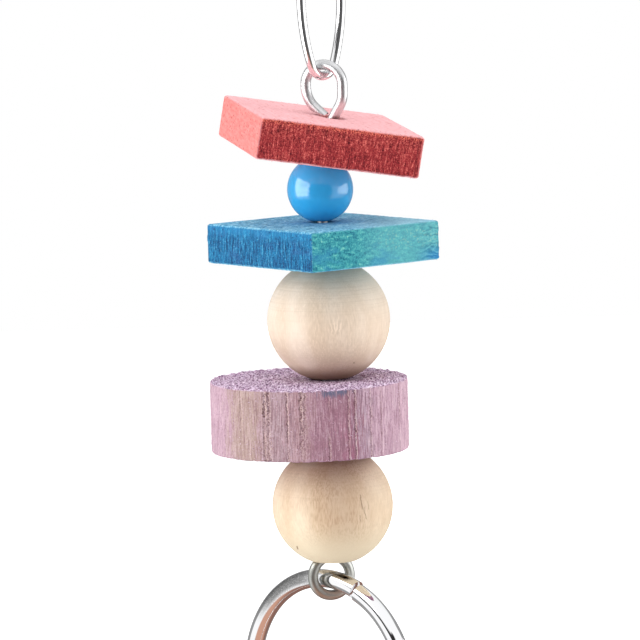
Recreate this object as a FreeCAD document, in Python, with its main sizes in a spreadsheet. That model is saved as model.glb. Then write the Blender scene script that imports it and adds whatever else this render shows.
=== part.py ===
import FreeCAD, Part
import math
import os

import Sketcher
from FreeCAD import Placement, Rotation, Vector

# Hanging bird chew toy.
# A bent wire with a closed eye at each end carries six loose chew pieces: a tilted square
# block, a bead, a second block, a turned ball, a thick round slice and a second ball.
# The top eye hangs in an oval link. A large split ring hangs in the bottom eye.
# Millimetres. +Z is up along the straight part of the wire. The origin is the inside top
# of the oval link, where the toy is hung. -Y is the side seen in the photograph.

DIMENSIONS = {
    # Clearance between two pieces that rest on each other, and in the two swinging loops
    "seat_gap": 0.2,
    "loop_gap": 0.4,
    # Oval hanging link: outer size, wire thickness, bend at its two ends, turn about Z
    "link_length": 40.4,
    "link_width": 15.6,
    "link_wire": 2.2,
    "link_bend": 3.9,
    "link_yaw": 44.0,
    # Wire through all the pieces, and where it runs beside the hanging line
    "wire_dia": 2.5,
    "hang_offset": 1.1,
    # Top eye: a half circle on two straight sides, with a bent shank and a trimmed tail
    "eye_yaw": -21.0,
    "eye_radius": 4.75,
    "eye_offset": 1.31,
    "shank_side": 2.2,
    "shank_bend": 6.0,
    "shank_kick": 6.0,
    "shank_rise": 2.0,
    "tail_side": 0.5,
    "tail_bend": 7.0,
    "tail_turn": 48.0,
    "tail_run": 3.3,
    "tail_cut_drop": 7.0,
    "tail_cut_slope": 13.3,
    # Bottom eye: nearly a full circle, entered from above through a small bend
    "low_eye_yaw": 20.0,
    "low_eye_radius": 4.8,
    "low_eye_neck": 2.5,
    "low_eye_end": 27.0,
    # Tilted block under the top eye, with its hole away from its middle
    "block_drop": 8.0,
    "red_side": 41.0,
    "red_thick": 10.3,
    "red_bore": 7.0,
    "red_bore_x": 1.75,
    "red_bore_y": -0.75,
    "red_yaw": 14.4,
    "red_pitch": 9.4,
    "red_roll": 4.2,
    # Glossy bead
    "bead_dia": 16.2,
    "bead_bore": 4.0,
    "bead_mouth": 4.8,
    "bead_shift": -0.35,
    # Level block
    "blue_side": 40.3,
    "blue_thick": 9.7,
    "blue_bore": 5.0,
    "blue_yaw": 39.7,
    # Worn corners and edges of both blocks
    "corner_round": 0.8,
    "edge_round": 0.35,
    # Turned balls: each mouth of the hole is chamfered
    "upper_ball_dia": 30.0,
    "upper_ball_shift": 0.9,
    "lower_ball_dia": 29.5,
    "lower_ball_shift": 0.75,
    "ball_bore": 7.5,
    "upper_ball_mouth": 10.0,
    "lower_ball_mouth": 11.3,
    # Round slice, with its hole away from its middle
    "disc_dia": 48.4,
    "disc_thick": 17.4,
    "disc_bore": 7.0,
    "disc_offset": 4.35,
    "disc_round": 0.9,
    # Split ring: mean radius, wire thickness, turn about Z, and its butt joint
    "ring_radius": 26.0,
    "ring_wire": 4.55,
    "ring_yaw": -43.4,
    "ring_shift": -1.59,
    "ring_joint": 67.4,
    "ring_joint_gap": 0.35,
    "ring_curl": 0.6,
}

# Heights and places that follow from the sizes above, from the link downwards.
LEVELS = {
    "wire_x": "-dims.hang_offset * cos(dims.eye_yaw * 1 deg)",
    "wire_y": "-dims.hang_offset * sin(dims.eye_yaw * 1 deg)",
    "link_centre": "dims.link_wire - dims.link_length / 2",
    "link_low": "1.5 * dims.link_wire - dims.link_length",
    "eye_top": "link_low + (dims.link_wire + dims.wire_dia) / 2 + dims.loop_gap",
    "eye_centre": "eye_top - dims.eye_radius",
    # Direction that the tilted block's hole points in
    "lean_x": "cos(dims.red_yaw * 1 deg) * sin(dims.red_pitch * 1 deg) * cos(dims.red_roll * 1 deg)"
              " + sin(dims.red_yaw * 1 deg) * sin(dims.red_roll * 1 deg)",
    "lean_y": "sin(dims.red_yaw * 1 deg) * sin(dims.red_pitch * 1 deg) * cos(dims.red_roll * 1 deg)"
              " - cos(dims.red_yaw * 1 deg) * sin(dims.red_roll * 1 deg)",
    "lean_z": "cos(dims.red_pitch * 1 deg) * cos(dims.red_roll * 1 deg)",
    # The tilted block's hole sits centrally on the bead, like a cup on a ball
    "red_seat": "sqrt((dims.bead_dia / 2 + dims.seat_gap)^2 - (dims.red_bore / 2)^2)",
    "bead_centre": "eye_centre - dims.block_drop - (red_seat + dims.red_thick) * lean_z",
    "bead_half": "sqrt((dims.bead_dia / 2)^2 - (dims.bead_mouth / 2)^2)",
    # The wire leaves its straight run a little over the bead
    "kick_level": "bead_centre + bead_half + dims.shank_rise",
    "red_base": "bead_centre + red_seat * lean_z",
    "bead_seat": "sqrt((dims.bead_dia / 2 + dims.seat_gap)^2"
                 " - (dims.blue_bore / 2 - abs(dims.bead_shift))^2)",
    "blue_base": "bead_centre - bead_seat - dims.blue_thick",
    "upper_ball_half": "sqrt((dims.upper_ball_dia / 2)^2 - (dims.upper_ball_mouth / 2)^2)",
    "upper_ball_centre": "blue_base - dims.seat_gap - upper_ball_half",
    "disc_base": "upper_ball_centre - upper_ball_half - dims.seat_gap - dims.disc_thick",
    "lower_ball_half": "sqrt((dims.lower_ball_dia / 2)^2 - (dims.lower_ball_mouth / 2)^2)",
    "lower_ball_centre": "disc_base - dims.seat_gap - lower_ball_half",
    # The bottom eye's round shoulders carry the chamfered mouth of the lower ball
    "low_eye_seat": "(dims.low_eye_radius + dims.wire_dia / 2 + dims.seat_gap) * sqrt(2)"
                    " - dims.lower_ball_mouth / 2 + abs(dims.lower_ball_shift)",
    "low_eye_centre": "lower_ball_centre - lower_ball_half - low_eye_seat",
    "low_eye_low": "low_eye_centre - dims.low_eye_radius",
    "ring_top": "low_eye_low + (dims.wire_dia + dims.ring_wire) / 2 + dims.loop_gap",
    # The ring hangs a little off its middle, along its own plane
    "ring_centre": "ring_top - sqrt(dims.ring_radius^2 - dims.ring_shift^2)",
}

SHANK_LEVEL = "levels.disc_base"


def fill_sheet(document, name, cells):
    """Write named cells to a new sheet, one row each."""
    sheet = document.addObject("Spreadsheet::Sheet", name)
    for row, (alias, content) in enumerate(cells.items(), start=1):
        sheet.set(f"A{row}", alias)
        sheet.set(f"B{row}", content)
        sheet.setAlias(f"B{row}", alias)
    return sheet


doc = FreeCAD.newDocument("chew_toy")
dims = fill_sheet(doc, "dims", {name: str(size) for name, size in DIMENSIONS.items()})
doc.recompute()
levels = fill_sheet(doc, "levels", {name: "=" + formula for name, formula in LEVELS.items()})
doc.recompute()


def size(expression):
    """Value of an expression of the two sheets."""
    return float(levels.evalExpression(expression))


def new_body(name):
    """Empty body whose label names its file."""
    body = doc.addObject("PartDesign::Body", name)
    body.Label = name
    return body


def place(body, **where):
    """Bind parts of a body's placement: x, y and z, or Yaw, Pitch and Roll."""
    for part, expression in where.items():
        group = "Base" if part in ("x", "y", "z") else "Rotation"
        body.setExpression(f".Placement.{group}.{part}", expression)


def new_sketch(body, name, role, yaw=None):
    """Sketch on one of the body's own planes, turned about Z by an expression in degrees."""
    sketch = body.newObject("Sketcher::SketchObject", name)
    plane = [feature for feature in body.Origin.OriginFeatures if feature.Role == role][0]
    sketch.AttachmentSupport = (plane, [""])
    sketch.MapMode = "FlatFace"
    if yaw:
        sketch.AttachmentOffset = Placement(Vector(), Rotation(Vector(0, 1, 0), 1.0))
        sketch.setExpression(".AttachmentOffset.Rotation.Angle", yaw)
    return sketch


def bind(sketch, name, expression, kind, *refs):
    """Dimension a sketch with a named constraint that follows an expression."""
    start = size(expression)
    if kind == "Angle":
        start = math.radians(start)
    index = sketch.addConstraint(Sketcher.Constraint(kind, *refs, start))
    sketch.renameConstraint(index, name)
    sketch.setExpression(f"Constraints.{name}", expression)


def line(sketch, start, end, construction=False):
    """Straight edge between two points of the sketch."""
    segment = Part.LineSegment(Vector(*start, 0), Vector(*end, 0))
    return sketch.addGeometry(segment, construction)


def arc(sketch, centre, radius, first, last):
    """Arc from the first to the last angle, in degrees, anticlockwise."""
    circle = Part.Circle(Vector(*centre, 0), Vector(0, 0, 1), radius)
    return sketch.addGeometry(
        Part.ArcOfCircle(circle, math.radians(first), math.radians(last)), False)


def tangent(sketch, first, first_end, second, second_end):
    """Join two ends smoothly."""
    sketch.addConstraint(Sketcher.Constraint("Tangent", first, first_end, second, second_end))


def round_profile(body, name, diameter, x="0", y="0", height=None):
    """Circle on the XY plane, the section of a wire or the outline of a hole."""
    sketch = new_sketch(body, name, "XY_Plane")
    if height:
        sketch.setExpression(".AttachmentOffset.Base.z", height)
    centre = Vector(size(x), size(y), 0)
    circle = sketch.addGeometry(Part.Circle(centre, Vector(0, 0, 1), size(diameter) / 2), False)
    bind(sketch, "diameter", diameter, "Diameter", circle)
    bind(sketch, "centre_x", x, "DistanceX", -1, 1, circle, 3)
    bind(sketch, "centre_y", y, "DistanceY", -1, 1, circle, 3)
    return sketch


def pipe(body, name, profile, path):
    """Sweep a round section along a path."""
    sweep = body.newObject("PartDesign::AdditivePipe", name)
    sweep.Profile = profile
    sweep.Spine = path
    sweep.Mode = "Frenet"
    return sweep


def pad(body, name, sketch, thickness):
    """Raise a sketch by an expression."""
    feature = body.newObject("PartDesign::Pad", name)
    feature.Profile = sketch
    feature.setExpression("Length", thickness)
    return feature


def revolve(body, name, sketch):
    """Turn a half section once round the Z axis."""
    feature = body.newObject("PartDesign::Revolution", name)
    feature.Profile = sketch
    feature.ReferenceAxis = (sketch, ["V_Axis"])
    feature.Angle = 360.0
    return feature


def drill(body, name, profile):
    """Cut a round hole upwards through the whole piece."""
    feature = body.newObject("PartDesign::Pocket", name)
    feature.Profile = profile
    feature.Type = "ThroughAll"
    feature.Reversed = True
    return feature


def edges_where(shape, test):
    """Names of the edges whose two ends and middle pass a test."""
    names = []
    for number, edge in enumerate(shape.Edges, start=1):
        middle = edge.valueAt((edge.FirstParameter + edge.LastParameter) / 2)
        if test(edge, middle):
            names.append(f"Edge{number}")
    return names


def round_edges(body, name, base, test, radius):
    """Fillet the edges of a feature that pass a test."""
    doc.recompute()
    feature = body.newObject("PartDesign::Fillet", name)
    feature.Base = (base, edges_where(base.Shape, test))
    feature.setExpression("Radius", radius)
    return feature


def make_link():
    """Closed oval of round wire: two tight end bends joined by two long flat arcs."""
    body = new_body("hanging_link")
    place(body, z="levels.link_centre", Yaw="dims.link_yaw")
    half_length = size("(dims.link_length - dims.link_wire) / 2")
    half_width = size("(dims.link_width - dims.link_wire) / 2")
    bend = size("dims.link_bend")
    reach = half_length - bend
    side = (reach ** 2 + half_width ** 2 - bend ** 2) / (2 * (half_width - bend))
    swing = math.degrees(math.atan2(reach, side - half_width))

    path = new_sketch(body, "link_path", "XZ_Plane")
    right = arc(path, (half_width - side, 0), side, 0, swing)
    end = arc(path, (0, reach), bend, swing, 180 - swing)
    left = arc(path, (side - half_width, 0), side, 180 - swing, 180)
    tangent(path, right, 2, end, 1)
    tangent(path, end, 2, left, 1)
    path.addConstraint(Sketcher.Constraint("PointOnObject", right, 1, -1))
    path.addConstraint(Sketcher.Constraint("PointOnObject", left, 2, -1))
    path.addConstraint(Sketcher.Constraint("PointOnObject", right, 3, -1))
    path.addConstraint(Sketcher.Constraint("PointOnObject", left, 3, -1))
    path.addConstraint(Sketcher.Constraint("PointOnObject", end, 3, -2))
    path.addConstraint(Sketcher.Constraint("Equal", right, left))
    bind(path, "bend", "dims.link_bend", "Radius", end)
    bind(path, "reach", "(dims.link_length - dims.link_wire) / 2 - dims.link_bend",
         "DistanceY", -1, 1, end, 3)
    bind(path, "half_width", "(dims.link_width - dims.link_wire) / 2", "DistanceX", -1, 1, right, 1)

    profile = round_profile(body, "link_section", "dims.link_wire",
                            x="(dims.link_width - dims.link_wire) / 2")
    upper = pipe(body, "link_upper_half", profile, path)
    mirror = body.newObject("PartDesign::Mirrored", "link_lower_half")
    mirror.Originals = [upper]
    plane = [feature for feature in body.Origin.OriginFeatures if feature.Role == "XY_Plane"][0]
    mirror.MirrorPlane = (plane, [""])
    body.Tip = mirror
    return body


def draw_top_eye(body):
    """Wire line from the lower ball's top up through the tilted block and round the top eye."""
    path = new_sketch(body, "top_path", "XZ_Plane", yaw="dims.eye_yaw")
    radius = size("dims.eye_radius")
    centre = (size("dims.eye_offset"), size("levels.eye_centre"))
    right_x = centre[0] + radius
    left_x = centre[0] - radius
    start_z = size(SHANK_LEVEL)
    kick_z = size("levels.kick_level")
    kick = size("dims.shank_kick")
    bend = size("dims.shank_bend")
    side_z = centre[1] - size("dims.shank_side")

    # The slanting run is the inner tangent of the two bends that it joins
    across = right_x - bend - kick
    rise = side_z - kick_z
    run = math.sqrt(across ** 2 + rise ** 2 - (kick + bend) ** 2)
    slope = math.atan2(across, rise) + math.atan2(kick + bend, run)
    slope_degrees = math.degrees(slope)
    run_start = (kick * (1 - math.cos(slope)), kick_z + kick * math.sin(slope))
    run_end = (right_x - bend * (1 - math.cos(slope)), side_z - bend * math.sin(slope))

    tail_bend = size("dims.tail_bend")
    tail_turn = math.radians(size("dims.tail_turn"))
    tail_z = centre[1] - size("dims.tail_side")
    tail_start = (left_x + tail_bend * (1 - math.cos(tail_turn)),
                  tail_z - tail_bend * math.sin(tail_turn))
    tail_end = (tail_start[0] + size("dims.tail_run") * math.sin(tail_turn),
                tail_start[1] - size("dims.tail_run") * math.cos(tail_turn))

    straight = line(path, (0, start_z), (0, kick_z))
    kick_arc = arc(path, (kick, kick_z), kick, 180 - slope_degrees, 180)
    slant = line(path, run_start, run_end)
    bend_arc = arc(path, (right_x - bend, side_z), bend, -slope_degrees, 0)
    right = line(path, (right_x, side_z), (right_x, centre[1]))
    top = arc(path, centre, radius, 0, 180)
    left = line(path, (left_x, centre[1]), (left_x, tail_z))
    tail_arc = arc(path, (left_x + tail_bend, tail_z), tail_bend,
                   180, 180 + math.degrees(tail_turn))
    tail = line(path, tail_start, tail_end)

    tangent(path, straight, 2, kick_arc, 2)
    tangent(path, kick_arc, 1, slant, 1)
    tangent(path, slant, 2, bend_arc, 1)
    tangent(path, bend_arc, 2, right, 1)
    tangent(path, right, 2, top, 1)
    tangent(path, top, 2, left, 1)
    tangent(path, left, 2, tail_arc, 1)
    tangent(path, tail_arc, 2, tail, 1)
    path.addConstraint(Sketcher.Constraint("PointOnObject", straight, 1, -2))
    for upright in (straight, right, left):
        path.addConstraint(Sketcher.Constraint("Vertical", upright))
    bind(path, "start_level", SHANK_LEVEL, "DistanceY", -1, 1, straight, 1)
    bind(path, "kick_level", "levels.kick_level", "DistanceY", -1, 1, straight, 2)
    bind(path, "kick_radius", "dims.shank_kick", "Radius", kick_arc)
    bind(path, "bend_radius", "dims.shank_bend", "Radius", bend_arc)
    bind(path, "eye_radius", "dims.eye_radius", "Radius", top)
    bind(path, "eye_offset", "dims.eye_offset", "DistanceX", -1, 1, top, 3)
    bind(path, "eye_level", "levels.eye_centre", "DistanceY", -1, 1, top, 3)
    bind(path, "shank_side", "-dims.shank_side", "DistanceY", right, 2, right, 1)
    bind(path, "tail_side", "-dims.tail_side", "DistanceY", left, 1, left, 2)
    bind(path, "tail_radius", "dims.tail_bend", "Radius", tail_arc)
    bind(path, "tail_turn", "dims.tail_turn - 90", "Angle", tail)
    bind(path, "tail_run", "dims.tail_run", "Distance", tail)
    return path


def draw_low_eye(body):
    """Wire line from the same start down through the lower ball and round the bottom eye."""
    path = new_sketch(body, "low_path", "XZ_Plane", yaw="dims.low_eye_yaw")
    radius = size("dims.low_eye_radius")
    neck = size("dims.low_eye_neck")
    centre_z = size("levels.low_eye_centre")
    start_z = size(SHANK_LEVEL)
    neck_z = centre_z + math.sqrt((radius + neck) ** 2 - neck ** 2)
    lead_in = math.degrees(math.atan2(neck_z - centre_z, neck))
    end = 90 + size("dims.low_eye_end")

    straight = line(path, (0, start_z), (0, neck_z))
    neck_arc = arc(path, (neck, neck_z), neck, 180, 180 + lead_in)
    loop = arc(path, (0, centre_z), radius, end - 360, lead_in)
    end_x = radius * math.cos(math.radians(end))
    end_z = centre_z + radius * math.sin(math.radians(end))
    spoke = line(path, (0, centre_z), (end_x, end_z), construction=True)

    tangent(path, straight, 2, neck_arc, 1)
    tangent(path, neck_arc, 2, loop, 2)
    path.addConstraint(Sketcher.Constraint("PointOnObject", straight, 1, -2))
    path.addConstraint(Sketcher.Constraint("Vertical", straight))
    path.addConstraint(Sketcher.Constraint("PointOnObject", loop, 3, -2))
    path.addConstraint(Sketcher.Constraint("Coincident", spoke, 1, loop, 3))
    path.addConstraint(Sketcher.Constraint("Coincident", spoke, 2, loop, 1))
    bind(path, "start_level", SHANK_LEVEL, "DistanceY", -1, 1, straight, 1)
    bind(path, "centre_level", "levels.low_eye_centre", "DistanceY", -1, 1, loop, 3)
    bind(path, "loop_radius", "dims.low_eye_radius", "Radius", loop)
    bind(path, "neck_radius", "dims.low_eye_neck", "Radius", neck_arc)
    bind(path, "end_angle", "90 + dims.low_eye_end", "Angle", spoke)
    return path


def trim_tail(body):
    """Cut the top eye's tail along a slanting line, so that it lies just over the block."""
    cut = new_sketch(body, "tail_cut", "XZ_Plane", yaw="dims.eye_yaw")
    slope = math.tan(math.radians(size("dims.tail_cut_slope")))
    level = size("levels.eye_centre - dims.tail_cut_drop")
    left = size("dims.eye_offset - dims.eye_radius - dims.wire_dia")
    low_right = size("dims.eye_offset")
    right = size("dims.eye_offset + dims.eye_radius / 6")
    bottom = size("levels.eye_centre - dims.tail_cut_drop - 0.8 * dims.wire_dia")
    corners = [(left, bottom), (low_right, bottom), (right, level - slope * right),
               (left, level - slope * left)]
    sides = [line(cut, corners[i], corners[(i + 1) % 4]) for i in range(4)]
    for first, second in zip(sides, sides[1:] + sides[:1]):
        cut.addConstraint(Sketcher.Constraint("Coincident", first, 2, second, 1))
    cut.addConstraint(Sketcher.Constraint("Horizontal", sides[0]))
    cut.addConstraint(Sketcher.Constraint("Vertical", sides[3]))
    bind(cut, "left", "dims.eye_offset - dims.eye_radius - dims.wire_dia",
         "DistanceX", -1, 1, sides[0], 1)
    bind(cut, "low_right", "dims.eye_offset", "DistanceX", -1, 1, sides[0], 2)
    bind(cut, "right", "dims.eye_offset + dims.eye_radius / 6", "DistanceX", -1, 1, sides[1], 2)
    bind(cut, "bottom", "levels.eye_centre - dims.tail_cut_drop - 0.8 * dims.wire_dia",
         "DistanceY", -1, 1, sides[0], 1)
    bind(cut, "cut_right", "levels.eye_centre - dims.tail_cut_drop"
         " - (dims.eye_offset + dims.eye_radius / 6) * tan(dims.tail_cut_slope * 1 deg)",
         "DistanceY", -1, 1, sides[2], 1)
    bind(cut, "cut_left", "levels.eye_centre - dims.tail_cut_drop"
         " - (dims.eye_offset - dims.eye_radius - dims.wire_dia) * tan(dims.tail_cut_slope * 1 deg)",
         "DistanceY", -1, 1, sides[2], 2)
    feature = body.newObject("PartDesign::Pocket", "tail_trim")
    feature.Profile = cut
    feature.Midplane = True
    feature.setExpression("Length", "2 * dims.wire_dia")
    return feature


def make_core_wire():
    """One length of wire: a closed eye at each end, each in its own upright plane."""
    body = new_body("core_wire")
    place(body, x="levels.wire_x", y="levels.wire_y")
    profile = round_profile(body, "wire_section", "dims.wire_dia", height=SHANK_LEVEL)
    pipe(body, "top_eye", profile, draw_top_eye(body))
    pipe(body, "low_eye", profile, draw_low_eye(body))
    trim_tail(body)
    return body


def make_block(name, prefix, bore_x="0", bore_y="0"):
    """Square block with a drilled hole at its own origin and slightly worn edges."""
    body = new_body(name)
    half = size(f"dims.{prefix}_side / 2")
    hole = (size(bore_x), size(bore_y))
    outline = new_sketch(body, f"{name}_outline", "XY_Plane")
    corners = [(-half - hole[0], -half - hole[1]), (half - hole[0], -half - hole[1]),
               (half - hole[0], half - hole[1]), (-half - hole[0], half - hole[1])]
    sides = [line(outline, corners[i], corners[(i + 1) % 4]) for i in range(4)]
    for first, second in zip(sides, sides[1:] + sides[:1]):
        outline.addConstraint(Sketcher.Constraint("Coincident", first, 2, second, 1))
    for flat in (sides[0], sides[2]):
        outline.addConstraint(Sketcher.Constraint("Horizontal", flat))
    for upright in (sides[1], sides[3]):
        outline.addConstraint(Sketcher.Constraint("Vertical", upright))
    outline.addConstraint(Sketcher.Constraint("Equal", sides[0], sides[1]))
    bind(outline, "side", f"dims.{prefix}_side", "DistanceX", sides[0], 1, sides[0], 2)
    bind(outline, "left", f"-dims.{prefix}_side / 2 - {bore_x}", "DistanceX", -1, 1, sides[0], 1)
    bind(outline, "front", f"-dims.{prefix}_side / 2 - {bore_y}", "DistanceY", -1, 1, sides[0], 1)
    slab = pad(body, f"{name}_slab", outline, f"dims.{prefix}_thick")
    uprights = round_edges(body, f"{name}_corners", slab,
                           lambda edge, middle: abs(edge.tangentAt(edge.FirstParameter).z) > 0.9,
                           "dims.corner_round")
    round_edges(body, f"{name}_edges", uprights,
                lambda edge, middle: abs(edge.tangentAt(edge.FirstParameter).z) < 0.1,
                "dims.edge_round")
    drill(body, f"{name}_hole", round_profile(body, f"{name}_bore", f"dims.{prefix}_bore"))
    return body


def make_ball(name, diameter, bore, mouth):
    """Ball turned about its drilled hole, with a chamfer at each mouth."""
    body = new_body(name)
    radius = size(f"{diameter} / 2")
    bore_x = size(f"{bore} / 2")
    mouth_x = size(f"{mouth} / 2")
    mouth_z = math.sqrt(radius ** 2 - mouth_x ** 2)
    bore_z = mouth_z - (mouth_x - bore_x)
    latitude = math.degrees(math.atan2(mouth_z, mouth_x))
    section = new_sketch(body, f"{name}_half_section", "XZ_Plane")
    outside = arc(section, (0, 0), radius, -latitude, latitude)
    upper = line(section, (mouth_x, mouth_z), (bore_x, bore_z))
    wall = line(section, (bore_x, bore_z), (bore_x, -bore_z))
    lower = line(section, (bore_x, -bore_z), (mouth_x, -mouth_z))
    section.addConstraint(Sketcher.Constraint("Coincident", outside, 3, -1, 1))
    section.addConstraint(Sketcher.Constraint("Coincident", outside, 2, upper, 1))
    section.addConstraint(Sketcher.Constraint("Coincident", upper, 2, wall, 1))
    section.addConstraint(Sketcher.Constraint("Coincident", wall, 2, lower, 1))
    section.addConstraint(Sketcher.Constraint("Coincident", lower, 2, outside, 1))
    section.addConstraint(Sketcher.Constraint("Vertical", upper, 1, lower, 2))
    section.addConstraint(Sketcher.Constraint("Symmetric", wall, 1, wall, 2, -1))
    bind(section, "radius", f"{diameter} / 2", "Radius", outside)
    bind(section, "bore", f"{bore} / 2", "DistanceX", -1, 1, wall, 1)
    bind(section, "mouth", f"{mouth} / 2", "DistanceX", -1, 1, upper, 1)
    bind(section, "chamfer", f"({bore} - {mouth}) / 2", "DistanceY", upper, 1, upper, 2)
    revolve(body, f"{name}_turned", section)
    return body


def make_disc():
    """Thick round slice, drilled off its middle, with softened rims."""
    body = new_body("purple_disc")
    outline = round_profile(body, "disc_outline", "dims.disc_dia", x="-dims.disc_offset")
    slab = pad(body, "disc_slab", outline, "dims.disc_thick")
    round_edges(body, "disc_rims", slab,
                lambda edge, middle: abs(edge.tangentAt(edge.FirstParameter).z) < 0.1
                and edge.Length > size("dims.disc_dia"),
                "dims.disc_round")
    drill(body, "disc_hole", round_profile(body, "disc_bore", "dims.disc_bore"))
    return body


def make_ring():
    """Ring of round bar, bent shut to a butt joint whose right end curls in a little."""
    body = new_body("lower_ring")
    radius = size("dims.ring_radius")
    gap = size("dims.ring_joint_gap / dims.ring_radius * 90 / pi")
    joint = size("dims.ring_joint")
    curled = size("dims.ring_radius - dims.ring_curl")

    around = new_sketch(body, "ring_long_path", "XZ_Plane")
    long_arc = arc(around, (0, 0), radius, joint + gap, 360)
    end = math.radians(joint + gap)
    spoke = line(around, (0, 0), (radius * math.cos(end), radius * math.sin(end)), True)
    around.addConstraint(Sketcher.Constraint("Coincident", long_arc, 3, -1, 1))
    around.addConstraint(Sketcher.Constraint("PointOnObject", long_arc, 2, -1))
    around.addConstraint(Sketcher.Constraint("Coincident", spoke, 1, -1, 1))
    around.addConstraint(Sketcher.Constraint("Coincident", spoke, 2, long_arc, 1))
    bind(around, "radius", "dims.ring_radius", "Radius", long_arc)
    bind(around, "joint", "dims.ring_joint + dims.ring_joint_gap / dims.ring_radius * 90 / pi",
         "Angle", spoke)

    across = new_sketch(body, "ring_curled_path", "XZ_Plane")
    short_arc = arc(across, (radius - curled, 0), curled, 0, joint - gap)
    end = math.radians(joint - gap)
    curl_spoke = line(across, (radius - curled, 0),
                      (radius - curled + curled * math.cos(end), curled * math.sin(end)), True)
    across.addConstraint(Sketcher.Constraint("PointOnObject", short_arc, 3, -1))
    across.addConstraint(Sketcher.Constraint("PointOnObject", short_arc, 1, -1))
    across.addConstraint(Sketcher.Constraint("Coincident", curl_spoke, 1, short_arc, 3))
    across.addConstraint(Sketcher.Constraint("Coincident", curl_spoke, 2, short_arc, 2))
    bind(across, "radius", "dims.ring_radius - dims.ring_curl", "Radius", short_arc)
    bind(across, "start", "dims.ring_radius", "DistanceX", -1, 1, short_arc, 1)
    bind(across, "joint", "dims.ring_joint - dims.ring_joint_gap / dims.ring_radius * 90 / pi",
         "Angle", curl_spoke)

    profile = round_profile(body, "ring_section", "dims.ring_wire", x="dims.ring_radius")
    pipe(body, "ring_long_way", profile, around)
    pipe(body, "ring_short_way", profile, across)
    return body


def build():
    """Make every piece and put it in its place."""
    pieces = [make_link(), make_core_wire()]

    red = make_block("red_block", "red", "dims.red_bore_x", "dims.red_bore_y")
    place(red, x="levels.wire_x + dims.bead_shift + levels.red_seat * levels.lean_x",
          y="levels.wire_y + levels.red_seat * levels.lean_y",
          z="levels.red_base", Yaw="dims.red_yaw", Pitch="dims.red_pitch", Roll="dims.red_roll")

    bead = make_ball("blue_bead", "dims.bead_dia", "dims.bead_bore", "dims.bead_mouth")
    place(bead, x="levels.wire_x + dims.bead_shift", y="levels.wire_y", z="levels.bead_centre")

    blue = make_block("blue_block", "blue")
    place(blue, x="levels.wire_x", y="levels.wire_y", z="levels.blue_base", Yaw="dims.blue_yaw")

    upper = make_ball("upper_ball", "dims.upper_ball_dia", "dims.ball_bore", "dims.upper_ball_mouth")
    place(upper, x="levels.wire_x + dims.upper_ball_shift", y="levels.wire_y",
          z="levels.upper_ball_centre")

    disc = make_disc()
    place(disc, x="levels.wire_x", y="levels.wire_y", z="levels.disc_base")

    lower = make_ball("lower_ball", "dims.lower_ball_dia", "dims.ball_bore", "dims.lower_ball_mouth")
    place(lower, x="levels.wire_x + dims.lower_ball_shift", y="levels.wire_y",
          z="levels.lower_ball_centre")

    ring = make_ring()
    place(ring, x="levels.wire_x + dims.ring_shift * cos(dims.ring_yaw * 1 deg)",
          y="levels.wire_y + dims.ring_shift * sin(dims.ring_yaw * 1 deg)",
          z="levels.ring_centre", Yaw="dims.ring_yaw")
    return pieces + [red, bead, blue, upper, disc, lower, ring]


def check_cuts():
    """Stop if a hole is not cut through its whole piece, or the tail is not trimmed."""
    for hole, prefix in (("red_block_hole", "red"), ("blue_block_hole", "blue"), ("disc_hole", "disc")):
        cut = doc.getObject(hole)
        removed = cut.BaseFeature.Shape.Volume - cut.Shape.Volume
        drilled = size(f"pi * (dims.{prefix}_bore / 2)^2 * dims.{prefix}_thick")
        if abs(removed - drilled) > 0.001 * drilled:
            raise RuntimeError(f"{hole} removes {removed:.2f} mm3, not {drilled:.2f}")
    trim = doc.getObject("tail_trim")
    removed = trim.BaseFeature.Shape.Volume - trim.Shape.Volume
    tail = size("pi * (dims.wire_dia / 2)^2 * dims.tail_run")
    if not 0.1 * tail < removed < tail:
        raise RuntimeError(f"tail_trim removes {removed:.2f} of {tail:.2f} mm3")


def check(pieces):
    """Stop if any feature failed or any piece is not one sound solid."""
    failed = [item.Name for item in doc.Objects
              if {"Invalid", "Error"} & set(item.State)]
    if failed:
        raise RuntimeError(f"features failed: {failed}")
    for piece in pieces:
        shape = piece.Shape
        if shape.isNull() or not shape.isValid() or len(shape.Solids) != 1:
            raise RuntimeError(f"{piece.Label} is not one valid solid")


def write(pieces):
    """Write each piece to its own file."""
    os.makedirs("parts", exist_ok=True)
    for piece in pieces:
        piece.Shape.exportStep(f"parts/{piece.Label}.step")
        print(f"{piece.Label}: {piece.Shape.Volume / 1000:.2f} cm3")


all_pieces = build()
doc.recompute()
check(all_pieces)
check_cuts()
write(all_pieces)
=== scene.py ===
"""Looks of the hanging bird chew toy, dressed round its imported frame.

Lengths in the classes are millimetres in each piece's own place. The lamps' and the floor's
places and sizes and the camera's distances are metres.
"""

import logging
import math
from dataclasses import dataclass, field
from enum import Enum
from typing import Callable, Dict, List, Optional, Sequence, Tuple, Union

import bmesh
import bpy
import numpy as np
from mathutils import Euler, Matrix, Vector


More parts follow.
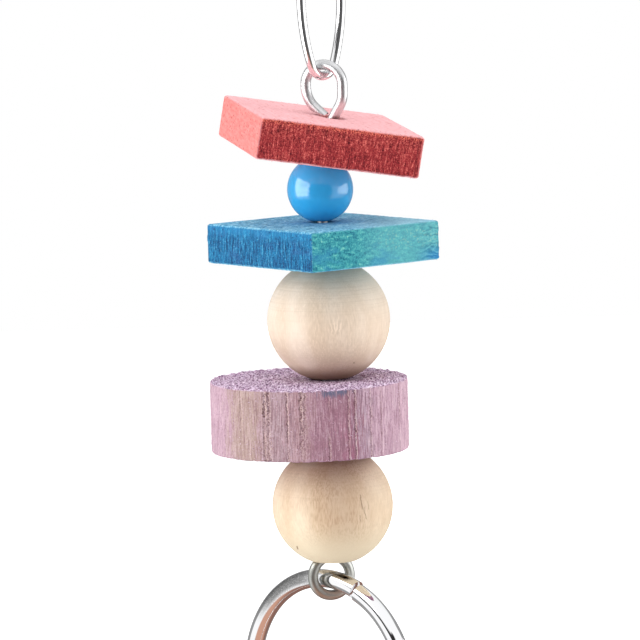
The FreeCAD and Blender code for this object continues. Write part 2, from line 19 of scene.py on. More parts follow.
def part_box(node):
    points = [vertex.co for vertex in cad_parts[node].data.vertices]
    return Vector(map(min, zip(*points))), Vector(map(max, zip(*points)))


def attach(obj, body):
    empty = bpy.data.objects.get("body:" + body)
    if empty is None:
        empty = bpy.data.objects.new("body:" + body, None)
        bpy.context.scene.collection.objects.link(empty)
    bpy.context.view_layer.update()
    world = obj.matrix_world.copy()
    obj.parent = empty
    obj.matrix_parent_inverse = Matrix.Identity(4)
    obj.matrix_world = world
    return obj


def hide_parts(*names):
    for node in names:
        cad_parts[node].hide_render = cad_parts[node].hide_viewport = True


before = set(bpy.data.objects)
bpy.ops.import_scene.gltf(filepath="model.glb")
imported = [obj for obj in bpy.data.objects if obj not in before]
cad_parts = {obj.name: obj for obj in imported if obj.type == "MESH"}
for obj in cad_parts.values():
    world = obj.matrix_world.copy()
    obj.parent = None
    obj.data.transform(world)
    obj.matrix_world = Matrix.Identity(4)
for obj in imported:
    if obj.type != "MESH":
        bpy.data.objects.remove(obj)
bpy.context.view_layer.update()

log = logging.getLogger("chew_toy")

MM = 0.001
# Cap on a colour that is made lighter
WHITEST = 0.95

# Whole numbers that mix a lattice corner's place and seed
HASH_PRIMES = (374761393, 668265263, 2246822519, 3266489917)
HASH_MIX = 1274126177
HASH_MASK = 0xFFFFFFFF
LAYER_SEED_STEP = 17

# Metres, as Blender takes them
MERGE_DISTANCE = 0.01 * MM
FIBRE_SINK = 0.08 * MM

# Rounded rim and rows of a drilled slab, in millimetres and degrees
BLOCK_EDGE = 0.75
HOLE_ROWS = 6
RIM_ANGLES = (90.0, 67.5, 45.0, 22.5)

# Point that the camera and the lamps face, in millimetres
AIM = (-2.226, 0.394, -96.67)

Colour = Tuple[float, float, float]
Socket = bpy.types.NodeSocket


class Wood(Enum):
    """The five wooden pieces, by node name."""

    RED_BLOCK = "red_block"
    BLUE_BLOCK = "blue_block"
    UPPER_BALL = "upper_ball"
    PURPLE_DISC = "purple_disc"
    LOWER_BALL = "lower_ball"


class Metal(Enum):
    """The three bent wires, by node name."""

    HANGING_LINK = "hanging_link"
    CORE_WIRE = "core_wire"
    LOWER_RING = "lower_ring"


def dye(red: int, green: int, blue: int) -> Colour:
    """Scene-linear colour of a screen colour.

    Args:
        red: Red, 0 to 255.
        green: Green, 0 to 255.
        blue: Blue, 0 to 255.

    Returns:
        The linear colour.
    """
    return tuple(
        part / 12.92 if part <= 0.04045 else ((part + 0.055) / 1.055) ** 2.4
        for part in (red / 255, green / 255, blue / 255)
    )


def shade(colour: Colour, factor: float) -> Colour:
    """Colour made darker or lighter, but no lighter than nearly white."""
    return tuple(min(WHITEST, factor * part) for part in colour)


def unit_step(value: np.ndarray, low: float, high: float) -> np.ndarray:
    """Smooth step from 0 at low to 1 at high."""
    share = np.clip((value - low) / (high - low), 0.0, 1.0)
    return share * share * (3.0 - 2.0 * share)


@dataclass(frozen=True)
class LatticeNoise:
    """Smooth seeded noise on a lattice, the same on every run."""

    seed: int

    def _corner(self, cell: np.ndarray) -> np.ndarray:
        """Value of each lattice corner.

        Args:
            cell: Whole-number places, one row each.

        Returns:
            One value for each corner, -1 to 1.
        """
        along_x, along_y, along_z, for_seed = HASH_PRIMES
        mixed = (
            cell[:, 0] * along_x + cell[:, 1] * along_y
            + cell[:, 2] * along_z + self.seed * for_seed
        ) & HASH_MASK
        mixed = ((mixed ^ (mixed >> 13)) * HASH_MIX) & HASH_MASK
        return ((mixed ^ (mixed >> 16)) & 0xFFFF) / 32767.5 - 1.0

    def at(self, points: np.ndarray, *grain: float) -> np.ndarray:
        """Noise at points.

        Args:
            points: Places, one row each.
            grain: Length of the noise's lumps along x, y and z.

        Returns:
            One value for each point, -1 to 1.
        """
        place = points / np.array(grain)
        cell = np.floor(place).astype(np.int64)
        share = place - cell
        share = share * share * (3.0 - 2.0 * share)
        total = np.zeros(len(points))
        for corner in range(8):
            step = np.array([corner & 1, (corner >> 1) & 1, corner >> 2])
            weight = np.prod(np.where(step, share, 1.0 - share), axis=1)
            total += weight * self._corner(cell + step)
        return total

    def _layer(self, octave: int) -> "LatticeNoise":
        """The noise of one finer layer."""
        return LatticeNoise(self.seed + LAYER_SEED_STEP * octave)

    def layered(self, points: np.ndarray, *grain: float, octaves: int = 3) -> np.ndarray:
        """Noise with finer layers added, each half as strong as the last.

        Args:
            points: Places, one row each.
            grain: Length of the coarsest layer's lumps along x, y and z.
            octaves: How many layers.

        Returns:
            One value for each point.
        """
        total = np.zeros(len(points))
        for octave in range(octaves):
            finer = [length / 2 ** octave for length in grain]
            total += self._layer(octave).at(points, *finer) / 2 ** octave
        return total


class Value:
    """A shader value that adds, subtracts and multiplies like a number."""

    def __init__(self, canvas: "Canvas", socket: Socket) -> None:
        """Wrap a socket of a canvas."""
        self.canvas, self.socket = canvas, socket

    def __add__(self, other: "Feed") -> "Value":
        """Sum of two values."""
        return self.canvas.sum("ADD", self, other)

    def __sub__(self, other: "Feed") -> "Value":
        """Difference of two values."""
        return self.canvas.sum("SUBTRACT", self, other)

    def __rsub__(self, other: float) -> "Value":
        """Difference of a number and a value."""
        return self.canvas.sum("SUBTRACT", other, self)

    def __mul__(self, other: "Feed") -> "Value":
        """Product of two values."""
        return self.canvas.sum("MULTIPLY", self, other)


Feed = Union[Value, Socket, float, str, Tuple[float, ...]]


class Canvas:
    """Shader nodes of one tree, with short names for what the finishes use most."""

    def __init__(self, tree: bpy.types.NodeTree) -> None:
        """Start on a tree."""
        self.tree = tree

    def feed(self, socket: Socket, value: Feed) -> None:
        """Link a socket to a value, or set it to a plain one.

        Args:
            socket: The socket that is fed.
            value: A value or socket of the tree, a number, a word, a vector or a colour.
        """
        if isinstance(value, Value):
            value = value.socket
        if isinstance(value, Socket):
            self.tree.links.new(value, socket)
        elif isinstance(value, tuple) and len(value) == 3 and socket.type == "RGBA":
            socket.default_value = (*value, 1.0)
        else:
            socket.default_value = value

    def node(self, kind: str, inputs: Dict, **settings: object) -> bpy.types.Node:
        """Add a node.

        Args:
            kind: The node's type.
            inputs: What its inputs are fed, by name or number.
            settings: Properties of the node.

        Returns:
            The node.
        """
        node = self.tree.nodes.new(kind)
        for key, value in settings.items():
            setattr(node, key, value)
        for key, value in inputs.items():
            self.feed(node.inputs[key], value)
        return node

    def output(self, key: Union[int, str], kind: str, inputs: Dict, **settings: object) -> Value:
        """Add a node and take one of its outputs."""
        return Value(self, self.node(kind, inputs, **settings).outputs[key])

    def split(self, vector: Feed) -> Tuple[Value, ...]:
        """The x, y and z of a vector."""
        parts = self.node("ShaderNodeSeparateXYZ", {0: vector}).outputs
        return tuple(Value(self, part) for part in parts)

    def stretch(self, vector: Feed, *scale: float) -> Value:
        """Vector scaled along each axis, which sets the grain of a pattern."""
        return self.output(0, "ShaderNodeVectorMath", {0: vector, 1: scale}, operation="MULTIPLY")

    def grain(self, vector: Feed, *scale: float, detail: float = 2.0, warp: float = 0.0) -> Value:
        """Smooth noise.

        Args:
            vector: The place that it is read at.
            scale: Lumps in one unit along each axis.
            detail: How many finer layers it has.
            warp: How much it is bent by itself.

        Returns:
            The noise, 0 to 1.
        """
        return self.output(
            0, "ShaderNodeTexNoise",
            {"Vector": self.stretch(vector, *scale), "Scale": 1.0, "Detail": detail,
             "Distortion": warp})

    def cells(self, vector: Feed, *scale: float) -> Value:
        """Distance to the nearest of scattered points, about one unit apart once scaled."""
        return self.output("Distance", "ShaderNodeTexVoronoi",
                           {"Vector": self.stretch(vector, *scale), "Scale": 1.0})

    def span(self, value: Feed, low: float, high: float,
             first: float = 0.0, last: float = 1.0) -> Value:
        """Smooth change from first at low to last at high."""
        return self.output(
            0, "ShaderNodeMapRange",
            {"Value": value, "From Min": low, "From Max": high, "To Min": first, "To Max": last},
            interpolation_type="SMOOTHSTEP")

    def sum(self, operation: str, first: Feed, second: Feed = 0.0) -> Value:
        """Arithmetic on one value or two."""
        return self.output(0, "ShaderNodeMath", {0: first, 1: second}, operation=operation)

    def window(self, value: Value, centre: float, half_width: float, soft: float) -> Value:
        """One inside centre plus or minus half_width, zero outside, with soft edges."""
        away = self.sum("ABSOLUTE", value - centre)
        return self.span(away, half_width - soft, half_width + soft, 1.0, 0.0)

    def tones(self, value: Feed, *stops: Tuple[float, Colour]) -> Value:
        """Colour that runs through stops as a value rises.

        Args:
            value: What chooses the colour, 0 to 1.
            stops: Places between 0 and 1, each with its colour.

        Returns:
            The colour.
        """
        node = self.node("ShaderNodeValToRGB", {0: value})
        ramp = node.color_ramp
        while len(ramp.elements) < len(stops):
            ramp.elements.new(0.5)
        for element, (place, colour) in zip(ramp.elements, stops):
            element.position = place
            element.color = (*colour, 1.0)
        return Value(self, node.outputs[0])

    def blend(self, share: Feed, first: Feed, second: Feed) -> Value:
        """Colour between two colours."""
        return self.output(2, "ShaderNodeMix", {0: share, 6: first, 7: second}, data_type="RGBA")


class Recipe(Canvas):
    """A procedural finish, written as shader nodes."""

    def __init__(self, name: str) -> None:
        """Start a finish.

        Args:
            name: The material's name.
        """
        self.material = bpy.data.materials.new(name)
        self.material.use_nodes = True
        super().__init__(self.material.node_tree)
        self.shader = self.tree.nodes["Principled BSDF"]

    def read(self, attribute: str, kind: str = "Vector") -> Value:
        """Attribute of the mesh."""
        return self.output(kind, "ShaderNodeAttribute", {}, attribute_name=attribute)

    def finish(self, relief: Optional[Value] = None, depth: float = 0.0,
               **sockets: Feed) -> bpy.types.Material:
        """Feed the shader.

        Args:
            relief: Height of a fine bump pattern, if any.
            depth: Depth of that relief in millimetres.
            sockets: Values or nodes for the shader's sockets, spaces as underscores.

        Returns:
            The finished material.
        """
        for key, value in sockets.items():
            self.feed(self.shader.inputs[key.replace("_", " ")], value)
        if relief is not None:
            bump = self.node(
                "ShaderNodeBump", {"Height": relief, "Strength": 1.0, "Distance": depth * MM}
            )
            self.tree.links.new(bump.outputs[0], self.shader.inputs["Normal"])
        return self.material


@dataclass(frozen=True)
class BrightWire:
    """Polished plating with a few faint draw marks, and a scuffed stretch if it has one."""

    name: str
    tone: Colour = (0.92, 0.92, 0.93)
    scuffed: Colour = (0.31, 0.31, 0.31)
    roughness: float = 0.02
    matte_from: float = 0.0
    matte_to: float = 0.0

    def make(self) -> bpy.types.Material:
        """Write the finish.

        Returns:
            The material.
        """
        recipe = Recipe(self.name)
        run = recipe.read("run")
        along, _, _ = recipe.split(run)
        marks = recipe.grain(run, 0.4, 6.0, 6.0, detail=3.0)
        roughness = recipe.span(marks, 0.35, 0.8, self.roughness, self.roughness + 0.05)
        relief = recipe.grain(run, 0.15, 1.3, 1.3, detail=1.0)
        if self.matte_to <= self.matte_from:
            return recipe.finish(
                relief, 0.004, Base_Color=self.tone, Metallic=1.0, Roughness=roughness)
        outward = recipe.read("outward", "Fac")
        middle = (self.matte_from + self.matte_to) / 2
        patch = recipe.window(along, middle, (self.matte_to - self.matte_from) / 2, 5.0)
        grit = recipe.grain(run, 3.6, 3.6, 3.6, detail=3.0)
        ragged = outward + recipe.span(grit, 0.2, 0.8, -0.15, 0.15)
        patch = patch * recipe.span(ragged, -0.65, -0.15)
        colour = recipe.blend(
            patch, self.tone, recipe.tones(
                grit, (0.4, shade(self.scuffed, 0.7)), (0.52, self.scuffed),
                (0.66, shade(self.scuffed, 1.9))))
        roughness = roughness + patch * 0.34
        return recipe.finish(
            relief + grit * patch, 0.012, Base_Color=colour, Metallic=1.0, Roughness=roughness)


@dataclass(frozen=True)
class SatinWire:
    """Soft grey wire, drawn through a die, with long fine marks."""

    name: str = "satin_wire"
    pale: Colour = (0.84, 0.84, 0.85)
    dull: Colour = (0.66, 0.67, 0.68)
    oxide: Colour = (0.54, 0.55, 0.52)
    eye_length: float = 30.0

    def make(self) -> bpy.types.Material:
        """Write the finish.

        Returns:
            The material.
        """
        recipe = Recipe(self.name)
        run = recipe.read("run")
        marks = recipe.grain(run, 0.5, 9.0, 9.0, detail=4.0)
        cloud = recipe.grain(run, 0.35, 1.2, 1.2)
        colour = recipe.blend(recipe.span(cloud, 0.35, 0.7), self.dull, self.pale)
        along, _, _ = recipe.split(run)
        low_eye = recipe.span(along, self.eye_length + 5.0, self.eye_length - 5.0)
        colour = recipe.blend(low_eye, colour, self.oxide)
        roughness = recipe.span(marks, 0.3, 0.7, 0.33, 0.41) + low_eye * 0.05
        return recipe.finish(
            marks, 0.008, Base_Color=colour, Metallic=1.0, Roughness=roughness)


@dataclass(frozen=True)
class GlossyBead:
    """Moulded glossy plastic of one colour."""

    name: str = "sky_blue_plastic"
    colour: Colour = dye(48, 168, 228)

    def make(self) -> bpy.types.Material:
        """Write the finish.

        Returns:
            The material.
        """
        recipe = Recipe(self.name)
        place = recipe.read("place")
        swirl = recipe.grain(place, 0.35, 0.35, 0.35)
        colour = recipe.tones(swirl, (0.3, self.colour), (0.7, shade(self.colour, 1.06)))
        return recipe.finish(
            recipe.grain(place, 0.9, 0.9, 0.9), 0.01, Base_Color=colour, Roughness=0.15,
            Coat_Weight=0.5, Coat_Roughness=0.05, Specular_IOR_Level=0.8)


@dataclass(frozen=True)
class RedDye:
    """Dyed block: dark sawn end grain, salmon sides and pale pink planed faces."""

    name: str = "red_dyed_wood"
    height: float = 10.3
    split_x: float = 17.3

    def make(self) -> bpy.types.Material:
        """Write the finish.

        Returns:
            The material.
        """
        recipe = Recipe(self.name)
        place = recipe.read("place")
        x, _, z = recipe.split(place)
        end, side, _ = recipe.split(recipe.read("faces"))

        strands = recipe.grain(place, 3.4, 1.0, 0.4, detail=3.0, warp=0.6)
        crumbs = recipe.grain(place, 3.3, 3.3, 2.8, detail=3.0, warp=1.2)
        mixed = strands * 0.45 + crumbs * 0.55
        cloud = recipe.grain(place, 0.35, 0.35, 0.5)
        mixed = mixed + recipe.span(cloud, 0.3, 0.7, -0.02, 0.02)
        sawn = recipe.tones(
            mixed, (0.39, dye(80, 14, 22)), (0.45, dye(128, 34, 40)), (0.51, dye(156, 48, 52)),
            (0.56, dye(178, 64, 64)), (0.64, dye(226, 120, 110)))
        high = recipe.span(z, 4.0, self.height - 1.0, 0.0, 0.2)
        sawn = recipe.blend(high * recipe.span(crumbs, 0.5, 0.58), sawn, dye(238, 132, 116))
        ragged = z + recipe.span(crumbs, 0.35, 0.65, -0.9, 0.9)
        rim = recipe.span(ragged, self.height - 0.9, self.height - 0.2, 0.0, 0.85)
        sawn = recipe.blend(rim, sawn, dye(232, 118, 98))
        split = recipe.window(x, self.split_x, 0.2, 0.15)
        sawn = recipe.blend(split * 0.6, sawn, dye(104, 28, 36))

        lines = recipe.grain(place, 1.2, 0.3, 1.6, detail=4.0)
        salmon = recipe.tones(
            lines, (0.3, dye(211, 116, 111)), (0.5, dye(219, 127, 123)), (0.7, dye(227, 138, 134)))
        specks = recipe.cells(place, 0.8, 0.8, 0.8)
        grit = recipe.grain(place, 1.7, 1.7, 1.7)
        specks = recipe.span(specks, 0.2, 0.32, 0.9, 0.0) * recipe.span(grit, 0.44, 0.52)
        salmon = recipe.blend(specks, salmon, dye(158, 70, 62))
        dents = recipe.grain(place, 1.2, 0.7, 1.6, detail=3.0, warp=0.8)
        salmon = recipe.blend(recipe.span(dents, 0.56, 0.66, 0.0, 0.4), salmon, dye(190, 92, 88))

        planed = recipe.tones(
            recipe.grain(place, 1.4, 0.12, 1.0, detail=4.0), (0.3, dye(225, 166, 169)),
            (0.5, dye(229, 172, 176)), (0.7, dye(234, 179, 183)))
        planed = recipe.blend(
            recipe.span(dents, 0.55, 0.66, 0.0, 0.35), planed, dye(206, 132, 132))
        planed = recipe.blend(specks * 0.7, planed, dye(180, 96, 88))

        colour = recipe.blend(side, planed, salmon)
        colour = recipe.blend(end, colour, sawn)
        relief = mixed * end + lines * 0.12
        return recipe.finish(relief, 0.26, Base_Color=colour, Roughness=0.85,
                             Specular_IOR_Level=0.25)


@dataclass(frozen=True)
class BlueDye:
    """Dyed block: vivid blue end grain, blue-green sides and dull blue planed faces."""

    name: str = "blue_dyed_wood"
    height: float = 9.7

    def make(self) -> bpy.types.Material:
        """Write the finish.

        Returns:
            The material.
        """
        recipe = Recipe(self.name)
        place = recipe.read("place")
        x, y, z = recipe.split(place)
        end, side, flat = recipe.split(recipe.read("faces"))

        strands = recipe.grain(place, 1.0, 2.8, 0.3, detail=4.0, warp=0.4)
        crumbs = recipe.grain(place, 3.6, 4.0, 3.2, warp=0.5)
        mixed = strands * 0.6 + crumbs * 0.4
        sawn = recipe.tones(
            mixed, (0.37, dye(9, 44, 82)), (0.45, dye(14, 74, 120)), (0.52, dye(20, 102, 148)),
            (0.59, dye(36, 128, 172)), (0.68, dye(94, 170, 200)))
        cloud = recipe.grain(place, 0.16, 0.16, 0.3)
        sawn = recipe.blend(recipe.span(cloud, 0.5, 0.7, 0.0, 0.3), sawn, dye(50, 84, 140))
        high_band = recipe.span(z, self.height - 3.4, self.height - 1.0, 0.0, 0.4)
        sawn = recipe.blend(high_band, sawn, dye(40, 140, 192))
        pores = recipe.span(recipe.cells(place, 0.7, 0.7, 0.62), 0.18, 0.3, 1.0, 0.0)
        pores = pores * recipe.window(z, self.height - 1.5, 0.8, 0.4)
        sawn = recipe.blend(pores * 0.8, sawn, dye(18, 56, 100))

        flow = recipe.grain(place, 0.5, 0.5, 1.3, detail=3.0, warp=0.5)
        mottle = recipe.grain(place, 2.6, 2.6, 2.6, detail=3.0, warp=0.3)
        mottle = flow * 0.5 + mottle * 0.5
        teal = recipe.tones(
            mottle, (0.36, dye(26, 96, 120)), (0.45, dye(42, 124, 141)), (0.52, dye(57, 146, 155)),
            (0.6, dye(79, 168, 168)), (0.7, dye(140, 202, 182)))
        teal = recipe.blend(recipe.span(x, -9.0, 4.0, 0.0, 0.5), teal, dye(104, 180, 188))
        dots = recipe.span(recipe.cells(place, 1.3, 1.3, 1.1), 0.12, 0.24, 0.22, 0.0)
        teal = recipe.blend(dots, teal, dye(40, 120, 140))
        pale = recipe.grain(place, 1.8, 1.8, 2.6, detail=3.0)
        high = recipe.window(z, 6.2, 2.4, 1.0)
        pale = recipe.span(pale, 0.54, 0.7, 0.0, 0.5) * (high * recipe.span(x, -6.0, 8.0))
        teal = recipe.blend(pale, teal, dye(160, 202, 172))
        patch = recipe.grain(place, 0.17, 0.17, 0.4, detail=3.0)
        corner = recipe.span(x, 11.0, 19.5) * recipe.span(z, 4.6, 1.0)
        low = recipe.span(patch, 0.5, 0.7, 0.0, 0.4) * recipe.span(z, 7.0, 4.0)
        teal = recipe.blend(recipe.sum("MAXIMUM", low, corner), teal, dye(46, 124, 178))
        ripple = recipe.grain(place, 0.22, 0.22, 0.5, detail=4.0)
        ripple = z + recipe.span(ripple, 0.3, 0.7, -1.3, 1.3)
        ripple = recipe.sum("SINE", ripple * 3.4)
        ends = recipe.span(x, 10.0, 18.0, 0.0, 0.45)
        teal = recipe.blend(ends * recipe.span(ripple, 0.5, 0.95), teal, dye(28, 88, 118))
        teal = recipe.blend(ends * recipe.span(ripple, -0.6, -0.95), teal, dye(116, 188, 192))

        strokes = recipe.grain(place, 0.3, 1.6, 1.0, detail=4.0)
        pits = recipe.grain(place, 1.5, 1.5, 1.5, detail=4.0, warp=0.6)
        rough = strokes * 0.4 + pits * 0.6
        planed = recipe.tones(
            rough, (0.4, dye(48, 112, 156)), (0.46, dye(84, 158, 197)), (0.52, dye(112, 188, 219)),
            (0.6, dye(166, 216, 232)))
        near_hole = recipe.sum("SQRT", x * x + y * y)
        planed = recipe.blend(
            recipe.span(near_hole, 11.0, 4.0, 0.0, 0.5), planed, dye(72, 128, 170))
        # Painted light: the planed faces grow lighter towards one corner
        painted_light_rightward = recipe.span(x - y, 4.0, 28.0, 0.0, 0.6)
        planed = recipe.blend(painted_light_rightward, planed, dye(160, 214, 228))

        colour = recipe.blend(side, planed, teal)
        colour = recipe.blend(end, colour, sawn)
        relief = mixed * end + mottle * (side * 0.6)
        relief = relief + pits * flat
        return recipe.finish(relief, 0.3, Base_Color=colour, Roughness=0.85,
                             Specular_IOR_Level=0.25)


@dataclass(frozen=True)
class Mark:
    """A small dark mark on the front of a ball."""

    x: float
    z: float
    half_width: float
    half_height: float
    lean: float = 0.0
    share: float = 0.7


@dataclass(frozen=True)
class PaintedLightZone:
    """Painted shade and painted light: a tone that grows from one height of a ball to another."""

    first: float
    last: float
    share: float
    colour: Colour


@dataclass(frozen=True)
class PlainTurned:
    """Pale sanded wood with fine turning lines and short grain strokes, and painted shade and light
    by height.
    """

    name: str
    warm: Colour
    pale: Colour
    stroke: Colour
    turning: float
    streaks: float
    drift: float
    marks: Tuple[Mark, ...]
    middle: float
    painted_zones: Tuple[PaintedLightZone, ...]
    figure: float = 0.0

    def make(self) -> bpy.types.Material:
        """Write the finish.

        Returns:
            The material.
        """
        recipe = Recipe(self.name)
        place = recipe.read("place")
        x, y, z = recipe.split(place)
        cloud = recipe.grain(place, 0.16, 0.16, 0.05, warp=self.drift)
        colour = recipe.tones(cloud, (0.38, self.warm), (0.62, self.pale))
        turned = recipe.grain(place, 0.05, 0.05, 4.4, detail=1.0)
        where = recipe.grain(place, 0.12, 0.12, 0.16, detail=1.0)
        share = recipe.span(turned, 0.5, 0.66, 0.0, self.turning)
        share = share * recipe.span(z, -2.0, 7.0, 0.3, 1.0)
        colour = recipe.blend(share, colour, self.stroke)
        heart = recipe.window(x, 1.2, 6.0, 3.5)
        streaks = recipe.grain(place, 3.0, 3.0, 0.5, warp=0.2)
        uneven = recipe.span(where, 0.6, 0.4, 0.5, 1.0) * (heart * 0.65 + 0.35)
        share = recipe.span(streaks, 0.46, 0.66, 0.0, self.streaks) * uneven
        colour = recipe.blend(share, colour, self.stroke)
        pale = shade(self.pale, 1.12)
        colour = recipe.blend(recipe.span(streaks, 0.44, 0.32, 0.0, 0.35), colour, pale)
        pores = recipe.grain(place, 2.8, 2.8, 0.8)
        dark = shade(self.stroke, 0.6)
        share = recipe.span(pores, 0.66, 0.76, 0.0, self.streaks) * heart
        colour = recipe.blend(share * 0.5, colour, dark)
        front = recipe.span(y, 2.0, -2.0)
        band = recipe.window(x, 2.0, 5.6, 4.5) * front
        colour = recipe.blend(band * self.middle, colour, self.stroke)
        # Painted shade and painted light, blended in by height
        for painted_zone in self.painted_zones:
            share = recipe.span(z, painted_zone.first, painted_zone.last, 0.0, painted_zone.share)
            colour = recipe.blend(share, colour, painted_zone.colour)
        if self.figure > 0.0:
            curls = recipe.grain(place, 0.9, 0.9, 0.7)
            aside = recipe.sum("ABSOLUTE", x - 1.7)
            nested = aside * 6.4 - z * 1.3
            nested = nested + recipe.span(curls, 0.2, 0.8, -1.8, 1.8)
            spot = recipe.window(x, 1.7, 1.5, 1.0) * recipe.window(z, 0.0, 1.7, 1.3)
            spot = spot * front
            curl = recipe.span(recipe.sum("SINE", nested), 0.45, 0.9) * spot
            colour = recipe.blend(curl * self.figure, colour, shade(self.pale, 1.22))
            curl = recipe.span(recipe.sum("SINE", nested), -0.5, -0.95) * spot
            colour = recipe.blend(curl * 0.35, colour, self.stroke)
        bent = recipe.grain(place, 0.3, 0.3, 0.5)
        bent = x + recipe.span(bent, 0.3, 0.7, -0.14, 0.14)
        for mark in self.marks:
            across = bent + z * mark.lean
            line = recipe.window(across, mark.x + mark.lean * mark.z, mark.half_width, 0.1)
            line = line * recipe.window(z, mark.z, mark.half_height, 0.2) * front * mark.share
            colour = recipe.blend(line, colour, dark)
        relief = turned * 0.5 + streaks * 0.5
        return recipe.finish(relief, 0.035, Base_Color=colour, Roughness=0.62,
                             Specular_IOR_Level=0.2)


@dataclass(frozen=True)
class Crack:
    """An upright crack in the slice's wall: place round it, and how it looks."""

    angle: float
    deep: float
    wide: float
    shade: float
    wander: float


CRACKS = (
    Crack(-57.6, 0.06, 0.16, 0.3, 0.2), Crack(-43.6, 0.14, 0.3, 0.4, 0.5),
    Crack(-26.7, 0.36, 0.2, 0.85, 1.0), Crack(-24.0, 0.3, 0.18, 0.75, 1.3),
    Crack(-12.7, 0.22, 0.14, 0.75, 0.35), Crack(-4.6, 0.36, 0.2, 0.85, 1.2),
    Crack(-2.4, 0.25, 0.16, 0.6, 1.5), Crack(11.2, 0.18, 0.13, 0.6, 0.4),
    Crack(22.9, 0.18, 0.13, 0.6, 0.25), Crack(27.2, 0.26, 0.14, 0.8, 0.3),
    Crack(37.6, 0.22, 0.16, 0.5, 0.7), Crack(45.6, 0.12, 0.14, 0.4, 0.3),
    Crack(64.8, 0.1, 0.12, 0.6, 0.5), Crack(96.0, 0.4, 0.24, 0.85, 1.0),
    Crack(131.0, 0.3, 0.18, 0.7, 0.6), Crack(173.0, 0.4, 0.22, 0.85, 1.2),
    Crack(196.0, 0.2, 0.14, 0.6, 0.4), Crack(214.0, 0.34, 0.2, 0.8, 0.9),
    Crack(246.0, 0.26, 0.18, 0.6, 0.6))


